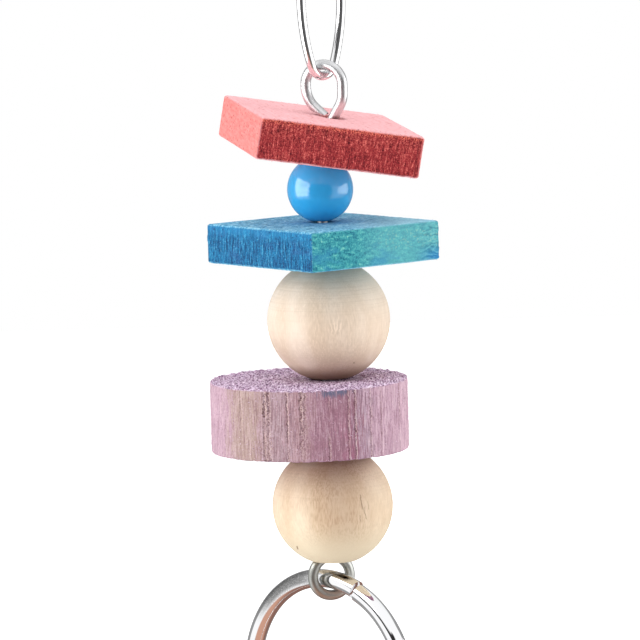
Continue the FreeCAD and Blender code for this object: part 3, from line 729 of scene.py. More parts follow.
@dataclass(frozen=True)
class PurpleDye:
    """Rough wood with purple dye soaked in unevenly, in upright bands, with painted highlights
    beside its cracks and painted shade on its underside.
    """

    name: str = "purple_dyed_wood"
    diameter: float = 48.4
    height: float = 17.4

    def make(self) -> bpy.types.Material:
        """Write the finish.

        Returns:
            The material.
        """
        recipe = Recipe(self.name)
        place = recipe.read("place")
        _, _, z = recipe.split(place)
        turn, wander, parted = recipe.split(recipe.read("turn"))
        _, wall, flat = recipe.split(recipe.read("faces"))

        threads = recipe.grain(place, 2.7, 2.7, 0.2, detail=4.0, warp=0.3)
        dust = recipe.grain(place, 2.6, 2.6, 2.1, detail=3.0, warp=0.5)
        drift = recipe.grain(place, 0.4, 0.4, 0.2, detail=3.0)
        drifted = turn + recipe.span(drift, 0.2, 0.8, -4.0, 4.0)
        shifted = recipe.span(threads, 0.3, 0.7, -6.0, 6.0) + drifted
        mauve = recipe.tones(
            recipe.grain(place, 0.3, 0.3, 0.08, detail=3.0), (0.35, dye(156, 118, 134)),
            (0.5, dye(172, 136, 150)), (0.65, dye(186, 152, 166)))
        for centre, half_width, colour in (
                (-76.0, 24.0, dye(192, 162, 177)), (-40.0, 13.0, dye(168, 149, 134)),
                (-25.0, 3.0, dye(150, 120, 120)), (-18.0, 6.0, dye(158, 138, 142)),
                (-6.0, 6.0, dye(164, 132, 134)), (15.5, 13.0, dye(142, 98, 116)),
                (33.5, 3.5, dye(148, 130, 148)), (60.0, 22.0, dye(190, 156, 174)),
                (82.0, 16.0, dye(206, 172, 188)), (112.0, 16.0, dye(178, 150, 142)),
                (205.0, 20.0, dye(146, 102, 122))):
            band = recipe.window(shifted, centre, half_width, 7.0)
            mauve = recipe.blend(band * 0.8, mauve, colour)
        red_line = recipe.window(shifted, 24.0, 2.6, 3.0) * recipe.span(z, 14.5, 9.0, 0.0, 0.55)
        mauve = recipe.blend(red_line, mauve, dye(146, 70, 104))
        fine = recipe.grain(place, 4.4, 4.4, 0.3, warp=0.2)
        for pattern, none, full, share, colour in (
                (fine, 0.5, 0.62, 0.3, dye(206, 178, 186)),
                (fine, 0.48, 0.38, 0.35, dye(122, 84, 96)),
                (threads, 0.52, 0.66, 0.22, dye(212, 186, 194)),
                (dust, 0.54, 0.66, 0.2, dye(214, 190, 198)),
                (dust, 0.46, 0.34, 0.4, dye(124, 86, 100)),
                (threads, 0.48, 0.36, 0.4, dye(126, 88, 100))):
            mauve = recipe.blend(recipe.span(pattern, none, full, 0.0, share), mauve, colour)
        strokes = recipe.grain(place, 2.4, 2.4, 0.14, detail=3.0, warp=0.3)
        strokes = recipe.span(strokes, 0.56, 0.66, 0.0, 0.5) * recipe.window(turn, 56.0, 22.0, 4.0)
        mauve = recipe.blend(strokes, mauve, dye(232, 208, 218))
        jag = recipe.grain(place, 1.5, 1.5, 1.5, detail=3.0, warp=0.6)
        jag = recipe.span(jag, 0.25, 0.75, -0.9, 0.9)
        broken = recipe.span(recipe.grain(place, 1.6, 1.6, 0.9, detail=3.0), 0.36, 0.5, 0.5, 1.0)
        parted = parted * broken
        for crack in CRACKS:
            line = turn + wander * crack.wander
            line = line + jag * (0.4 + 0.8 * crack.wander)
            wide = math.degrees(0.85 * crack.wide / (self.diameter / 2))
            # Painted highlight: a pale line along the raised lip beside each crack
            lip_highlight = recipe.window(line, crack.angle + 2.4 * wide, wide, 0.5 * wide)
            lip_highlight = lip_highlight * (parted * (0.6 * crack.shade))
            mauve = recipe.blend(lip_highlight, mauve, dye(222, 196, 188))
            gap = recipe.window(line, crack.angle, wide, 0.6 * wide) * (parted * crack.shade)
            mauve = recipe.blend(gap, mauve, dye(84, 50, 50))
        ragged = z + recipe.span(threads, 0.35, 0.65, -0.5, 0.5)
        stain = recipe.window(shifted, 16.0, 7.0, 3.5)
        stain = stain * recipe.span(ragged, self.height - 2.0, self.height - 0.9)
        mauve = recipe.blend(stain * 0.8, mauve, dye(86, 98, 124))

        crumbs = recipe.grain(place, 2.0, 2.0, 2.0, detail=4.0, warp=0.6)
        top = recipe.tones(
            crumbs, (0.39, dye(104, 70, 98)), (0.45, dye(166, 130, 158)),
            (0.5, dye(206, 176, 202)), (0.56, dye(228, 204, 226)), (0.64, dye(248, 232, 246)))
        # Painted shade: the underside takes darker copies of the top face's tones
        under = recipe.tones(crumbs, (0.4, dye(110, 76, 98)), (0.6, dye(176, 138, 162)))
        top = recipe.blend(recipe.span(z, 0.4 * self.height, 0.6 * self.height), under, top)
        colour = recipe.blend(flat, mauve, top)
        relief = threads * wall + crumbs * flat
        return recipe.finish(relief, 0.3, Base_Color=colour, Roughness=0.9,
                             Specular_IOR_Level=0.2)


@dataclass(frozen=True)
class LooseFibre:
    """Torn wood fibre, a little paler than the dyed face that it stands on."""

    name: str
    first: Colour
    second: Colour

    def make(self) -> bpy.types.Material:
        """Write the finish.

        Returns:
            The material.
        """
        recipe = Recipe(self.name)
        coordinates = recipe.node("ShaderNodeTexCoord", {}).outputs["Object"]
        patches = recipe.grain(coordinates, 900.0, 900.0, 900.0)
        colour = recipe.tones(patches, (0.38, self.first), (0.62, self.second))
        return recipe.finish(Base_Color=colour, Roughness=0.9, Specular_IOR_Level=0.2)


def mesh_object(name: str, vertices: np.ndarray, faces: Sequence, material: bpy.types.Material,
                attributes: Dict[str, np.ndarray]) -> bpy.types.Object:
    """Make a smooth-shaded object at the origin.

    Args:
        name: The object's name.
        vertices: Places in the row frame, in millimetres.
        faces: Vertex numbers of each face.
        material: Its finish.
        attributes: Vector attributes by name, one row for each vertex.

    Returns:
        The object, linked to the scene.
    """
    mesh = bpy.data.meshes.new(name)
    mesh.from_pydata((vertices * MM).tolist(), [], faces)
    for key, values in attributes.items():
        layer = mesh.attributes.new(key, "FLOAT_VECTOR", "POINT")
        layer.data.foreach_set("vector", values.astype(np.float32).ravel())
    mesh.materials.append(material)
    mesh.update()
    mesh.shade_smooth()
    made = bpy.data.objects.new(name, mesh)
    bpy.context.scene.collection.objects.link(made)
    return made


def closed_grid(columns: int, rows: int) -> np.ndarray:
    """Quads of a grid that closes on itself both ways.

    Args:
        columns: Places round the piece.
        rows: Places along its section.

    Returns:
        Four vertex numbers for each face.
    """
    column, row = np.meshgrid(np.arange(columns), np.arange(rows), indexing="ij")
    next_column, next_row = (column + 1) % columns, (row + 1) % rows
    corners = (column * rows + row, next_column * rows + row,
               next_column * rows + next_row, column * rows + next_row)
    return np.stack([corner.ravel() for corner in corners], axis=1)


def raised(plan: np.ndarray, height: np.ndarray) -> np.ndarray:
    """Give a grid's rows their heights.

    Args:
        plan: Its (x, y) places, column by column and row by row.
        height: One height for each row.

    Returns:
        The (x, y, z) places, one row each, column by column.
    """
    level = np.broadcast_to(height[None, :, None], (*plan.shape[:2], 1))
    return np.concatenate([plan, level], axis=2).reshape(-1, 3)


def spokes_of(columns: int) -> np.ndarray:
    """Evenly spaced directions all round, one for each column."""
    angle = np.arange(columns) / columns * 2 * math.pi
    return np.stack([np.cos(angle), np.sin(angle)], axis=1)


@dataclass(frozen=True)
class Seat:
    """Where a piece's own axes stand in the row frame."""

    origin: Vector
    yaw: float = 0.0
    pitch: float = 0.0
    roll: float = 0.0

    def turn(self) -> np.ndarray:
        """Rotation from the piece's own axes to the row frame."""
        angles = Euler([math.radians(angle) for angle in (self.roll, self.pitch, self.yaw)])
        return np.array(angles.to_matrix())

    def put(self, points: np.ndarray) -> np.ndarray:
        """Places in the row frame of points in the piece's own axes."""
        return points @ self.turn().T + np.array(self.origin)


def middle_of(node: str) -> Vector:
    """Middle of a node's box, in millimetres."""
    low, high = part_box(node)
    return (low + high) / (2 * MM)


def dress(made: bpy.types.Object, node: str, stands_for: bool = True) -> bpy.types.Object:
    """Ride a piece on its node's body, and hide the node's own solid when the piece stands for it.

    Args:
        made: The finished piece.
        node: The node, whose body has the same name.
        stands_for: Whether the piece stands for the node's solid.

    Returns:
        The piece.
    """
    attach(made, node)
    if stands_for:
        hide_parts(node)
    count = sum(len(polygon.vertices) - 2 for polygon in made.data.polygons)
    log.info("%s: %d triangles", made.name, count)
    return made


class Tree:
    """A geometry node tree with named inputs."""

    def __init__(self, name: str) -> None:
        """Start a tree.

        Args:
            name: The tree's name.
        """
        self.group = bpy.data.node_groups.new(name, "GeometryNodeTree")
        for side in ("OUTPUT", "INPUT"):
            self.group.interface.new_socket(
                "Geometry", in_out=side, socket_type="NodeSocketGeometry")
        self.start = self.group.nodes.new("NodeGroupInput")
        self.end = self.group.nodes.new("NodeGroupOutput")

    def size(self, name: str, kind: str) -> None:
        """Add a named input of a kind such as Float, Int or Material."""
        self.group.interface.new_socket(name, in_out="INPUT", socket_type=f"NodeSocket{kind}")

    def given(self, name: str) -> Socket:
        """Socket of a named input."""
        return self.start.outputs[name]

    def add(self, kind: str, inputs: Optional[Dict] = None,
            **settings: object) -> bpy.types.Node:
        """Add a node, choose its settings and feed its inputs.

        Args:
            kind: The node's type without its prefix.
            inputs: Sockets or plain values by input name or number.
            settings: Properties of the node.

        Returns:
            The node.
        """
        prefix = "" if kind.startswith(("Shader", "Function")) else "GeometryNode"
        node = self.group.nodes.new(prefix + kind)
        for key, value in settings.items():
            setattr(node, key, value)
        for key, value in (inputs or {}).items():
            socket = node.inputs[key]
            if isinstance(value, Socket):
                self.group.links.new(value, socket)
            else:
                socket.default_value = value
        return node

    def close(self, geometry: Socket) -> bpy.types.NodeTree:
        """End in Realize Instances and Set Material.

        Args:
            geometry: The socket that carries the finished geometry.

        Returns:
            The tree.
        """
        real = self.add("RealizeInstances", {0: geometry})
        painted = self.add(
            "SetMaterial", {"Geometry": real.outputs[0], "Material": self.given("Finish")})
        self.group.links.new(painted.outputs[0], self.end.inputs[0])
        return self.group


def bake(source: bpy.types.Object, tree: bpy.types.NodeTree, name: str,
         inputs: Dict[str, object]) -> bpy.types.Object:
    """Run a tree on an object and keep the result as a plain mesh.

    Args:
        source: Object that the tree starts from.
        tree: The geometry node tree.
        name: Name of the new object.
        inputs: Values of the tree's named inputs.

    Returns:
        The new object.
    """
    modifier = source.modifiers.new("nodes", "NODES")
    modifier.node_group = tree
    for item in tree.interface.items_tree:
        if item.in_out == "INPUT" and item.name in inputs:
            modifier[item.identifier] = inputs[item.name]
    graph = bpy.context.evaluated_depsgraph_get()
    mesh = bpy.data.meshes.new_from_object(
        source.evaluated_get(graph), preserve_all_data_layers=True, depsgraph=graph)
    source.modifiers.remove(modifier)
    mesh.name = name
    mesh.shade_smooth()
    made = bpy.data.objects.new(name, mesh)
    bpy.context.scene.collection.objects.link(made)
    return made


def sweep_tree() -> bpy.types.NodeTree:
    """Round wire along a curve, with a run attribute: length along, then place in its section.

    Returns:
        The tree.
    """
    tree = Tree("wire_sweep")
    tree.size("Radius", "Float")
    tree.size("Sides", "Int")
    tree.size("Finish", "Material")
    along = tree.add("SplineParameter").outputs["Length"]
    line = tree.add("StoreNamedAttribute", {
        "Geometry": tree.given("Geometry"), "Name": "along", "Value": along}, data_type="FLOAT")
    circle = tree.add("CurvePrimitiveCircle", {
        "Resolution": tree.given("Sides"), "Radius": tree.given("Radius")})
    around = tree.add("InputPosition").outputs[0]
    section = tree.add("StoreNamedAttribute", {
        "Geometry": circle.outputs["Curve"], "Name": "around", "Value": around},
        data_type="FLOAT_VECTOR")
    tube = tree.add("CurveToMesh", {
        "Curve": line.outputs[0], "Profile Curve": section.outputs[0], "Fill Caps": True})
    length = tree.add("InputNamedAttribute", {"Name": "along"}, data_type="FLOAT").outputs[0]
    side = tree.add("InputNamedAttribute", {"Name": "around"}, data_type="FLOAT_VECTOR").outputs[0]
    side = tree.add("ShaderNodeSeparateXYZ", {0: side}).outputs
    run = tree.add("ShaderNodeCombineXYZ", {0: length, 1: side[0], 2: side[1]}).outputs[0]
    run = tree.add(
        "ShaderNodeVectorMath", {0: run, 1: (1 / MM, 1 / MM, 1 / MM)}, operation="MULTIPLY")
    kept = tree.add("StoreNamedAttribute", {
        "Geometry": tube.outputs[0], "Name": "run", "Value": run.outputs[0]},
        data_type="FLOAT_VECTOR")
    return tree.close(kept.outputs[0])


def fibre_tree() -> bpy.types.NodeTree:
    """Short torn fibres, scattered where a mesh's fuzz attribute is high.

    Returns:
        The tree.
    """
    tree = Tree("torn_fibres")
    for name, kind in (("Length", "Float"), ("Width", "Float"), ("Density", "Float"),
                       ("Lean", "Float"), ("Seed", "Int"), ("Finish", "Material")):
        tree.size(name, kind)
    fuzz = tree.add("InputNamedAttribute", {"Name": "fuzz"}, data_type="FLOAT")
    thick = tree.add("ShaderNodeMath", {0: fuzz.outputs[0], 1: tree.given("Density")},
                     operation="MULTIPLY")
    points = tree.add("DistributePointsOnFaces", {
        "Mesh": tree.given("Geometry"), "Density": thick.outputs[0], "Seed": tree.given("Seed")})
    cone = tree.add("MeshCone", {
        "Vertices": 4, "Radius Top": 0.0, "Radius Bottom": tree.given("Width"),
        "Depth": tree.given("Length")}, fill_type="NGON")
    sunk = tree.add("Transform", {
        "Geometry": cone.outputs[0], "Translation": (0.0, 0.0, -FIBRE_SINK)})
    tilt = tree.add("FunctionNodeRandomValue", {
        "Min": (-1.0, -1.0, -1.0), "Max": (1.0, 1.0, 1.0), "Seed": tree.given("Seed")},
        data_type="FLOAT_VECTOR")
    lean = tree.add("ShaderNodeVectorMath", {0: tilt.outputs[0]}, operation="SCALE")
    tree.group.links.new(tree.given("Lean"), lean.inputs["Scale"])
    aim = tree.add("ShaderNodeVectorMath", {0: points.outputs["Normal"], 1: lean.outputs[0]},
                   operation="ADD")
    turned = tree.add("FunctionNodeAlignRotationToVector", {"Vector": aim.outputs[0]}, axis="Z")
    size = tree.add("FunctionNodeRandomValue", {
        2: 0.35, 3: 1.0, "Seed": tree.given("Seed")}, data_type="FLOAT")
    placed = tree.add("InstanceOnPoints", {
        "Points": points.outputs["Points"], "Instance": sunk.outputs[0],
        "Rotation": turned.outputs[0], "Scale": size.outputs[1]})
    return tree.close(placed.outputs[0])


@dataclass
class Fuzz:
    """Torn fibres on one wooden piece."""

    wood: Wood
    material: bpy.types.Material
    length: float
    width: float
    per_square_mm: float
    seed: int
    lean: float = 0.9

    def build(self, host: bpy.types.Object, tree: bpy.types.NodeTree) -> bpy.types.Object:
        """Scatter the fibres.

        Args:
            host: The dressed piece, with a fuzz attribute.
            tree: The fibre tree.

        Returns:
            The fibres, as one piece.
        """
        made = bake(host, tree, f"{self.wood.value}_fibres", {
            "Length": self.length * MM, "Width": self.width * MM,
            "Density": self.per_square_mm / MM ** 2, "Lean": self.lean, "Seed": self.seed,
            "Finish": self.material})
        return dress(made, self.wood.value, stands_for=False)


@dataclass
class Route:
    """A wire's centreline, drawn in an upright plane through its own axis."""

    yaw: float
    points: List[Tuple[float, float]] = field(default_factory=list)
    step: float = 0.3
    least: float = 0.02

    def line(self, start: Tuple[float, float], end: Tuple[float, float]) -> None:
        """Add a straight run.

        Args:
            start: Its first point, as (across, height).
            end: Its last point.
        """
        count = max(2, round(math.dist(start, end) / self.step))
        for share in np.linspace(0.0, 1.0, count + 1):
            self._add(
                start[0] + share * (end[0] - start[0]), start[1] + share * (end[1] - start[1]))

    def arc(self, centre: Tuple[float, float], radius: float, first: float, last: float) -> None:
        """Add an arc.

        Args:
            centre: Its centre, as (across, height).
            radius: Its radius.
            first: Angle of its first point, in degrees.
            last: Angle of its last point, in degrees.
        """
        count = max(3, round(abs(math.radians(last - first)) * radius / self.step))
        for angle in np.radians(np.linspace(first, last, count + 1)):
            self._add(centre[0] + radius * math.cos(angle), centre[1] + radius * math.sin(angle))

    def _add(self, across: float, height: float) -> None:
        """Add a point unless it repeats the last one."""
        if not self.points or math.dist(self.points[-1], (across, height)) > self.least:
            self.points.append((across, height))

    def placed(self, axis: Sequence[float]) -> np.ndarray:
        """Points in the row frame.

        Args:
            axis: Where the route's own axis stands.

        Returns:
            The centreline, one row for each point.
        """
        flat = np.array(self.points)
        turn = math.radians(self.yaw)
        return np.stack([axis[0] + flat[:, 0] * math.cos(turn),
                         axis[1] + flat[:, 0] * math.sin(turn), flat[:, 1]], axis=1)


@dataclass
class Wire:
    """One bent wire, swept along its centreline."""

    metal: Metal
    diameter: float
    sides: int
    material: bpy.types.Material

    def sweep(self, tree: bpy.types.NodeTree, route: np.ndarray, closed: bool,
              ease: float = 0.12) -> bpy.types.Object:
        """Sweep the round section along a route.

        Args:
            tree: The sweep tree.
            route: Centreline in the row frame, in millimetres.
            closed: Whether the ends are joined.
            ease: How much thinner the very ends are, which breaks their edges.

        Returns:
            The wire, as a plain mesh.
        """
        curve = bpy.data.curves.new(self.metal.value, "CURVE")
        curve.dimensions = "3D"
        spline = curve.splines.new("POLY")
        spline.points.add(len(route) - 1)
        for point, place in zip(spline.points, route):
            point.co = (*(place * MM), 1.0)
        spline.use_cyclic_u = closed
        if not closed:
            for end in (0, -1):
                spline.points[end].radius = 1.0 - ease
        source = bpy.data.objects.new(f"{self.metal.value}_line", curve)
        bpy.context.scene.collection.objects.link(source)
        made = bake(source, tree, f"{self.metal.value}_wire", {
            "Radius": self.diameter / 2 * MM, "Sides": self.sides, "Finish": self.material})
        bpy.data.objects.remove(source)
        return made


@dataclass
class HangingLink:
    """Closed oval link of round wire."""

    wire: Wire
    length: float = 40.4
    width: float = 15.6
    bend: float = 3.9
    yaw: float = 44.0

    def route(self) -> np.ndarray:
        """Centreline of the oval.

        Returns:
            Points in the row frame.
        """
        half_length = (self.length - self.wire.diameter) / 2
        half_width = (self.width - self.wire.diameter) / 2
        reach = half_length - self.bend
        side = (reach ** 2 + half_width ** 2 - self.bend ** 2) / (2 * (half_width - self.bend))
        swing = math.degrees(math.atan2(reach, side - half_width))
        route = Route(self.yaw)
        route.arc((half_width - side, 0.0), side, -swing, swing)
        route.arc((0.0, reach), self.bend, swing, 180.0 - swing)
        route.arc((side - half_width, 0.0), side, 180.0 - swing, 180.0 + swing)
        route.arc((0.0, -reach), self.bend, 180.0 + swing, 360.0 - swing)
        points = route.placed((0.0, 0.0))[:-1]
        return points + np.array(middle_of(Metal.HANGING_LINK.value))

    def build(self, tree: bpy.types.NodeTree) -> None:
        """Sweep and dress the link.

        Args:
            tree: The sweep tree.
        """
        dress(self.wire.sweep(tree, self.route(), closed=True), self.wire.metal.value)


@dataclass
class CoreWire:
    """The long wire with an eye at each end, in two planes."""

    wire: Wire
    top_yaw: float = -21.0
    top_radius: float = 4.75
    top_offset: float = 1.31
    shank_side: float = 2.2
    shank_bend: float = 6.0
    shank_kick: float = 6.0
    tail_side: float = 0.5
    tail_bend: float = 7.0
    tail_turn: float = 48.0
    tail_run: float = 3.3
    cut_drop: float = 7.0
    cut_slope: float = 13.3
    low_yaw: float = 20.0
    low_radius: float = 4.8
    low_neck: float = 2.5
    low_end: float = 117.0
    kick_over_bead: float = 9.736
    ball_shift: float = 0.9

    def axis(self) -> Tuple[float, float]:
        """Where the straight part of the wire stands."""
        ball = middle_of(Wood.UPPER_BALL.value)
        return ball.x - self.ball_shift, ball.y

    def heights(self) -> Tuple[float, float]:
        """Heights of the two eyes.

        Returns:
            Heights of the top and the bottom eye's centre.
        """
        low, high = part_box(Metal.CORE_WIRE.value)
        half = self.wire.diameter / 2
        return high.z / MM - half - self.top_radius, low.z / MM + half + self.low_radius

    def upper_route(self, start: float, eye: float) -> Route:
        """Centreline from the straight part up and round the top eye.

        Args:
            start: Height at which it begins.
            eye: Height of the eye's centre.

        Returns:
            The route.
        """
        right = self.top_offset + self.top_radius
        left = self.top_offset - self.top_radius
        kick, bend = self.shank_kick, self.shank_bend
        kick_z = middle_of("blue_bead").z + self.kick_over_bead
        side_z = eye - self.shank_side
        across, rise = right - bend - kick, side_z - kick_z
        run = math.sqrt(across ** 2 + rise ** 2 - (kick + bend) ** 2)
        slope = math.atan2(across, rise) + math.atan2(kick + bend, run)
        turn = math.radians(self.tail_turn)
        tail_z = eye - self.tail_side
        tail = (
            left + self.tail_bend * (1 - math.cos(turn)), tail_z - self.tail_bend * math.sin(turn))
        route = Route(self.top_yaw)
        route.line((0.0, start), (0.0, kick_z))
        route.arc((kick, kick_z), kick, 180.0, 180.0 - math.degrees(slope))
        route.line(route.points[-1], (right - bend * (1 - math.cos(slope)),
                                      side_z - bend * math.sin(slope)))
        route.arc((right - bend, side_z), bend, -math.degrees(slope), 0.0)
        route.line((right, side_z), (right, eye))
        route.arc((self.top_offset, eye), self.top_radius, 0.0, 180.0)
        route.line((left, eye), (left, tail_z))
        route.arc((left + self.tail_bend, tail_z), self.tail_bend, 180.0, 180.0 + self.tail_turn)
        route.line(tail, (tail[0] + self.tail_run * math.sin(turn),
                          tail[1] - self.tail_run * math.cos(turn)))
        return route

    def lower_route(self, start: float, eye: float) -> Route:
        """Centreline from the straight part down and round the bottom eye.

        Args:
            start: Height at which it begins.
            eye: Height of the eye's centre.

        Returns:
            The route.
        """
        neck_z = eye + math.sqrt((self.low_radius + self.low_neck) ** 2 - self.low_neck ** 2)
        lead = math.degrees(math.atan2(neck_z - eye, self.low_neck))
        route = Route(self.low_yaw)
        route.line((0.0, start), (0.0, neck_z))
        route.arc((self.low_neck, neck_z), self.low_neck, 180.0, 180.0 + lead)
        route.arc((0.0, eye), self.low_radius, lead, self.low_end - 360.0)
        return route

    def trim(self, made: bpy.types.Object, axis: Tuple[float, float], eye: float) -> None:
        """Cut the tail on a slant, by drawing what lies under the cut back along the wire.

        Args:
            made: The swept wire.
            axis: Where its straight part stands.
            eye: Height of the top eye's centre.
        """
        turn, slope = math.radians(self.top_yaw), math.tan(math.radians(self.cut_slope))
        mesh = bmesh.new()
        mesh.from_mesh(made.data)
        run = mesh.verts.layers.float_vector["run"]
        last = max(vertex[run].x for vertex in mesh.verts)
        drop = math.radians(self.tail_turn)
        for vertex in mesh.verts:
            if vertex[run].x < last - 2 * self.tail_run:
                continue
            across = (vertex.co.x / MM - axis[0]) * math.cos(turn) \
                + (vertex.co.y / MM - axis[1]) * math.sin(turn)
            under = eye - self.cut_drop - slope * across - vertex.co.z / MM
            if under > 0:
                back = under / (math.cos(drop) - slope * math.sin(drop)) * MM
                vertex.co.z += back * math.cos(drop)
                vertex.co.x -= back * math.sin(drop) * math.cos(turn)
                vertex.co.y -= back * math.sin(drop) * math.sin(turn)
        bmesh.ops.remove_doubles(mesh, verts=mesh.verts, dist=MERGE_DISTANCE)
        mesh.to_mesh(made.data)
        mesh.free()

    def build(self, tree: bpy.types.NodeTree) -> None:
        """Sweep, trim and dress the wire.

        Args:
            tree: The sweep tree.
        """
        axis = self.axis()
        top, low = self.heights()
        start = middle_of(Wood.PURPLE_DISC.value).z
        lower = self.lower_route(start, low).placed(axis)[::-1]
        upper = self.upper_route(start, top).placed(axis)
        made = self.wire.sweep(tree, np.vstack([lower, upper[1:]]), closed=False)
        self.trim(made, axis, top)
        dress(made, self.wire.metal.value)


@dataclass
class LowerRing:
    """Split ring of heavier wire, whose right end curls in a little at the joint."""

    wire: Wire
    radius: float = 26.0
    yaw: float = -43.4
    joint: float = 67.4
    joint_gap: float = 0.35
    curl: float = 0.6

    def build(self, tree: bpy.types.NodeTree) -> None:
        """Sweep and dress the ring.

        Args:
            tree: The sweep tree.
        """
        middle = middle_of(Metal.LOWER_RING.value)
        gap = math.degrees(self.joint_gap / 2 / self.radius)
        route = Route(self.yaw)
        route.arc((0.0, middle.z), self.radius, self.joint + gap, 360.0)
        route.arc((self.curl, middle.z), self.radius - self.curl, 0.0, self.joint - gap)
        points = route.placed((middle.x, middle.y))
        made = self.wire.sweep(tree, points, closed=False, ease=0.07)
        self.mark_sides(made, middle)
        dress(made, self.wire.metal.value)

    def mark_sides(self, made: bpy.types.Object, middle: Vector) -> None:
        """Write how far each point faces out of the ring, -1 to 1, as its outward attribute.

        Args:
            made: The swept ring.
            middle: The ring's middle, in millimetres.
        """
        turn = math.radians(self.yaw)
        layer = made.data.attributes.new("outward", "FLOAT", "POINT")
        for vertex, entry in zip(made.data.vertices, layer.data):
            across = (vertex.co.x / MM - middle.x) * math.cos(turn) \
                + (vertex.co.y / MM - middle.y) * math.sin(turn)
            away = math.hypot(across, vertex.co.z / MM - middle.z) - self.radius
            entry.value = away / (self.wire.diameter / 2)


@dataclass
class Section:
    """The path once round a drilled slab's cross-section, from the hole outwards and back."""

    height: float
    bore: float
    edge: float
    wall_rows: int
    top_rows: int
    bottom_rows: int

    def rows(self) -> Tuple[np.ndarray, np.ndarray, np.ndarray, np.ndarray]:
        """Lay out the rows.

        Returns:
            For each row: its share of the way from hole to outline, how far it stands out of the
            outline, its height, and its outward direction as (sideways, up), with the hole's
            wall facing the axis.
        """
        share, beyond, height, facing = [], [], [], []

        def add(way: float, level: float, side: float, up: float, out: float = 0.0) -> None:
            """Add a row.

            Args:
                way: Its share of the way from hole to outline.
                level: Its height.
                side: How far it faces sideways.
                up: How far it faces up.
                out: How far it stands out of the outline.
            """
            share.append(way)
            beyond.append(out)
            height.append(level)
            facing.append((side, up))

        top, edge = self.height, self.edge
        bends = [(math.cos(angle), math.sin(angle)) for angle in np.radians(RIM_ANGLES)]
        for level in np.linspace(edge, top - edge, HOLE_ROWS):
            add(0.0, level, -1.0, 0.0)
        for way in (np.linspace(0.0, 1.0, self.top_rows + 1) ** 0.8)[:-1]:
            add(way, top, 0.0, 1.0)
        for cosine, sine in bends:
            add(1.0, top - edge * (1.0 - sine), cosine, sine, edge * (cosine - 1.0))
        for level in np.linspace(top - edge, edge, self.wall_rows):
            add(1.0, level, 1.0, 0.0)
        for cosine, sine in bends[::-1]:
            add(1.0, edge * (1.0 - sine), cosine, -sine, edge * (cosine - 1.0))
        for way in np.linspace(1.0, 0.0, self.bottom_rows + 1)[1:]:
            add(way, 0.0, 0.0, -1.0)
        return np.array(share), np.array(beyond), np.array(height), np.array(facing)


@dataclass
class Slab:
    """A drilled slab: an outline, a hole at its own origin and rounded rims."""

    wood: Wood
    seat: Seat
    section: Section
    outline: np.ndarray
    outward: np.ndarray

    def surface(self) -> Tuple[np.ndarray, np.ndarray]:
        """Points of the plain slab and the directions they face.

        Returns:
            Points and unit directions in the piece's own axes, column by column.
        """
        share, beyond, height, facing = self.section.rows()
        angle = np.arctan2(self.outline[:, 1], self.outline[:, 0])
        spokes = np.stack([np.cos(angle), np.sin(angle)], axis=1)
        hole = spokes * self.section.bore / 2
        rim = self.outline[:, None, :] + self.outward[:, None, :] * beyond[None, :, None]
        edged = self.outline - self.outward * self.section.edge
        flat = hole[:, None, :] + (edged - hole)[:, None, :] * share[None, :, None]
        on_rim = (share >= 1.0)[None, :, None]
        plan = np.where(on_rim, rim, flat)
        side = np.where(
            (facing[:, 0] < 0)[None, :, None], spokes[:, None, :], self.outward[:, None, :])
        return raised(plan, height), raised(side * facing[None, :, 0, None], facing[:, 1])

    def build(self, material: bpy.types.Material,
              worn: Callable[[np.ndarray, np.ndarray], Tuple[np.ndarray, Dict[str, np.ndarray]]]
              ) -> bpy.types.Object:
        """Wear the slab, place it and dress it.

        Args:
            material: Its finish.
            worn: Gives each point's shift along its direction, and the extra attributes.

        Returns:
            The dressed piece.
        """
        points, facing = self.surface()
        shift, attributes = worn(points, facing)
        moved = points + shift
        attributes["place"] = points
        faces = closed_grid(len(self.outline), len(self.section.rows()[0]))
        made = mesh_object(self.wood.value + "_wood", self.seat.put(moved), faces.tolist(),
                           material, attributes)
        face_outwards(made)
        return dress(made, self.wood.value)


def face_outwards(made: bpy.types.Object) -> None:
    """Turn every face of a closed mesh outwards.

    Args:
        made: The object whose mesh it is.
    """
    mesh = bmesh.new()
    mesh.from_mesh(made.data)
    bmesh.ops.recalc_face_normals(mesh, faces=mesh.faces)
    mesh.to_mesh(made.data)
    mesh.free()


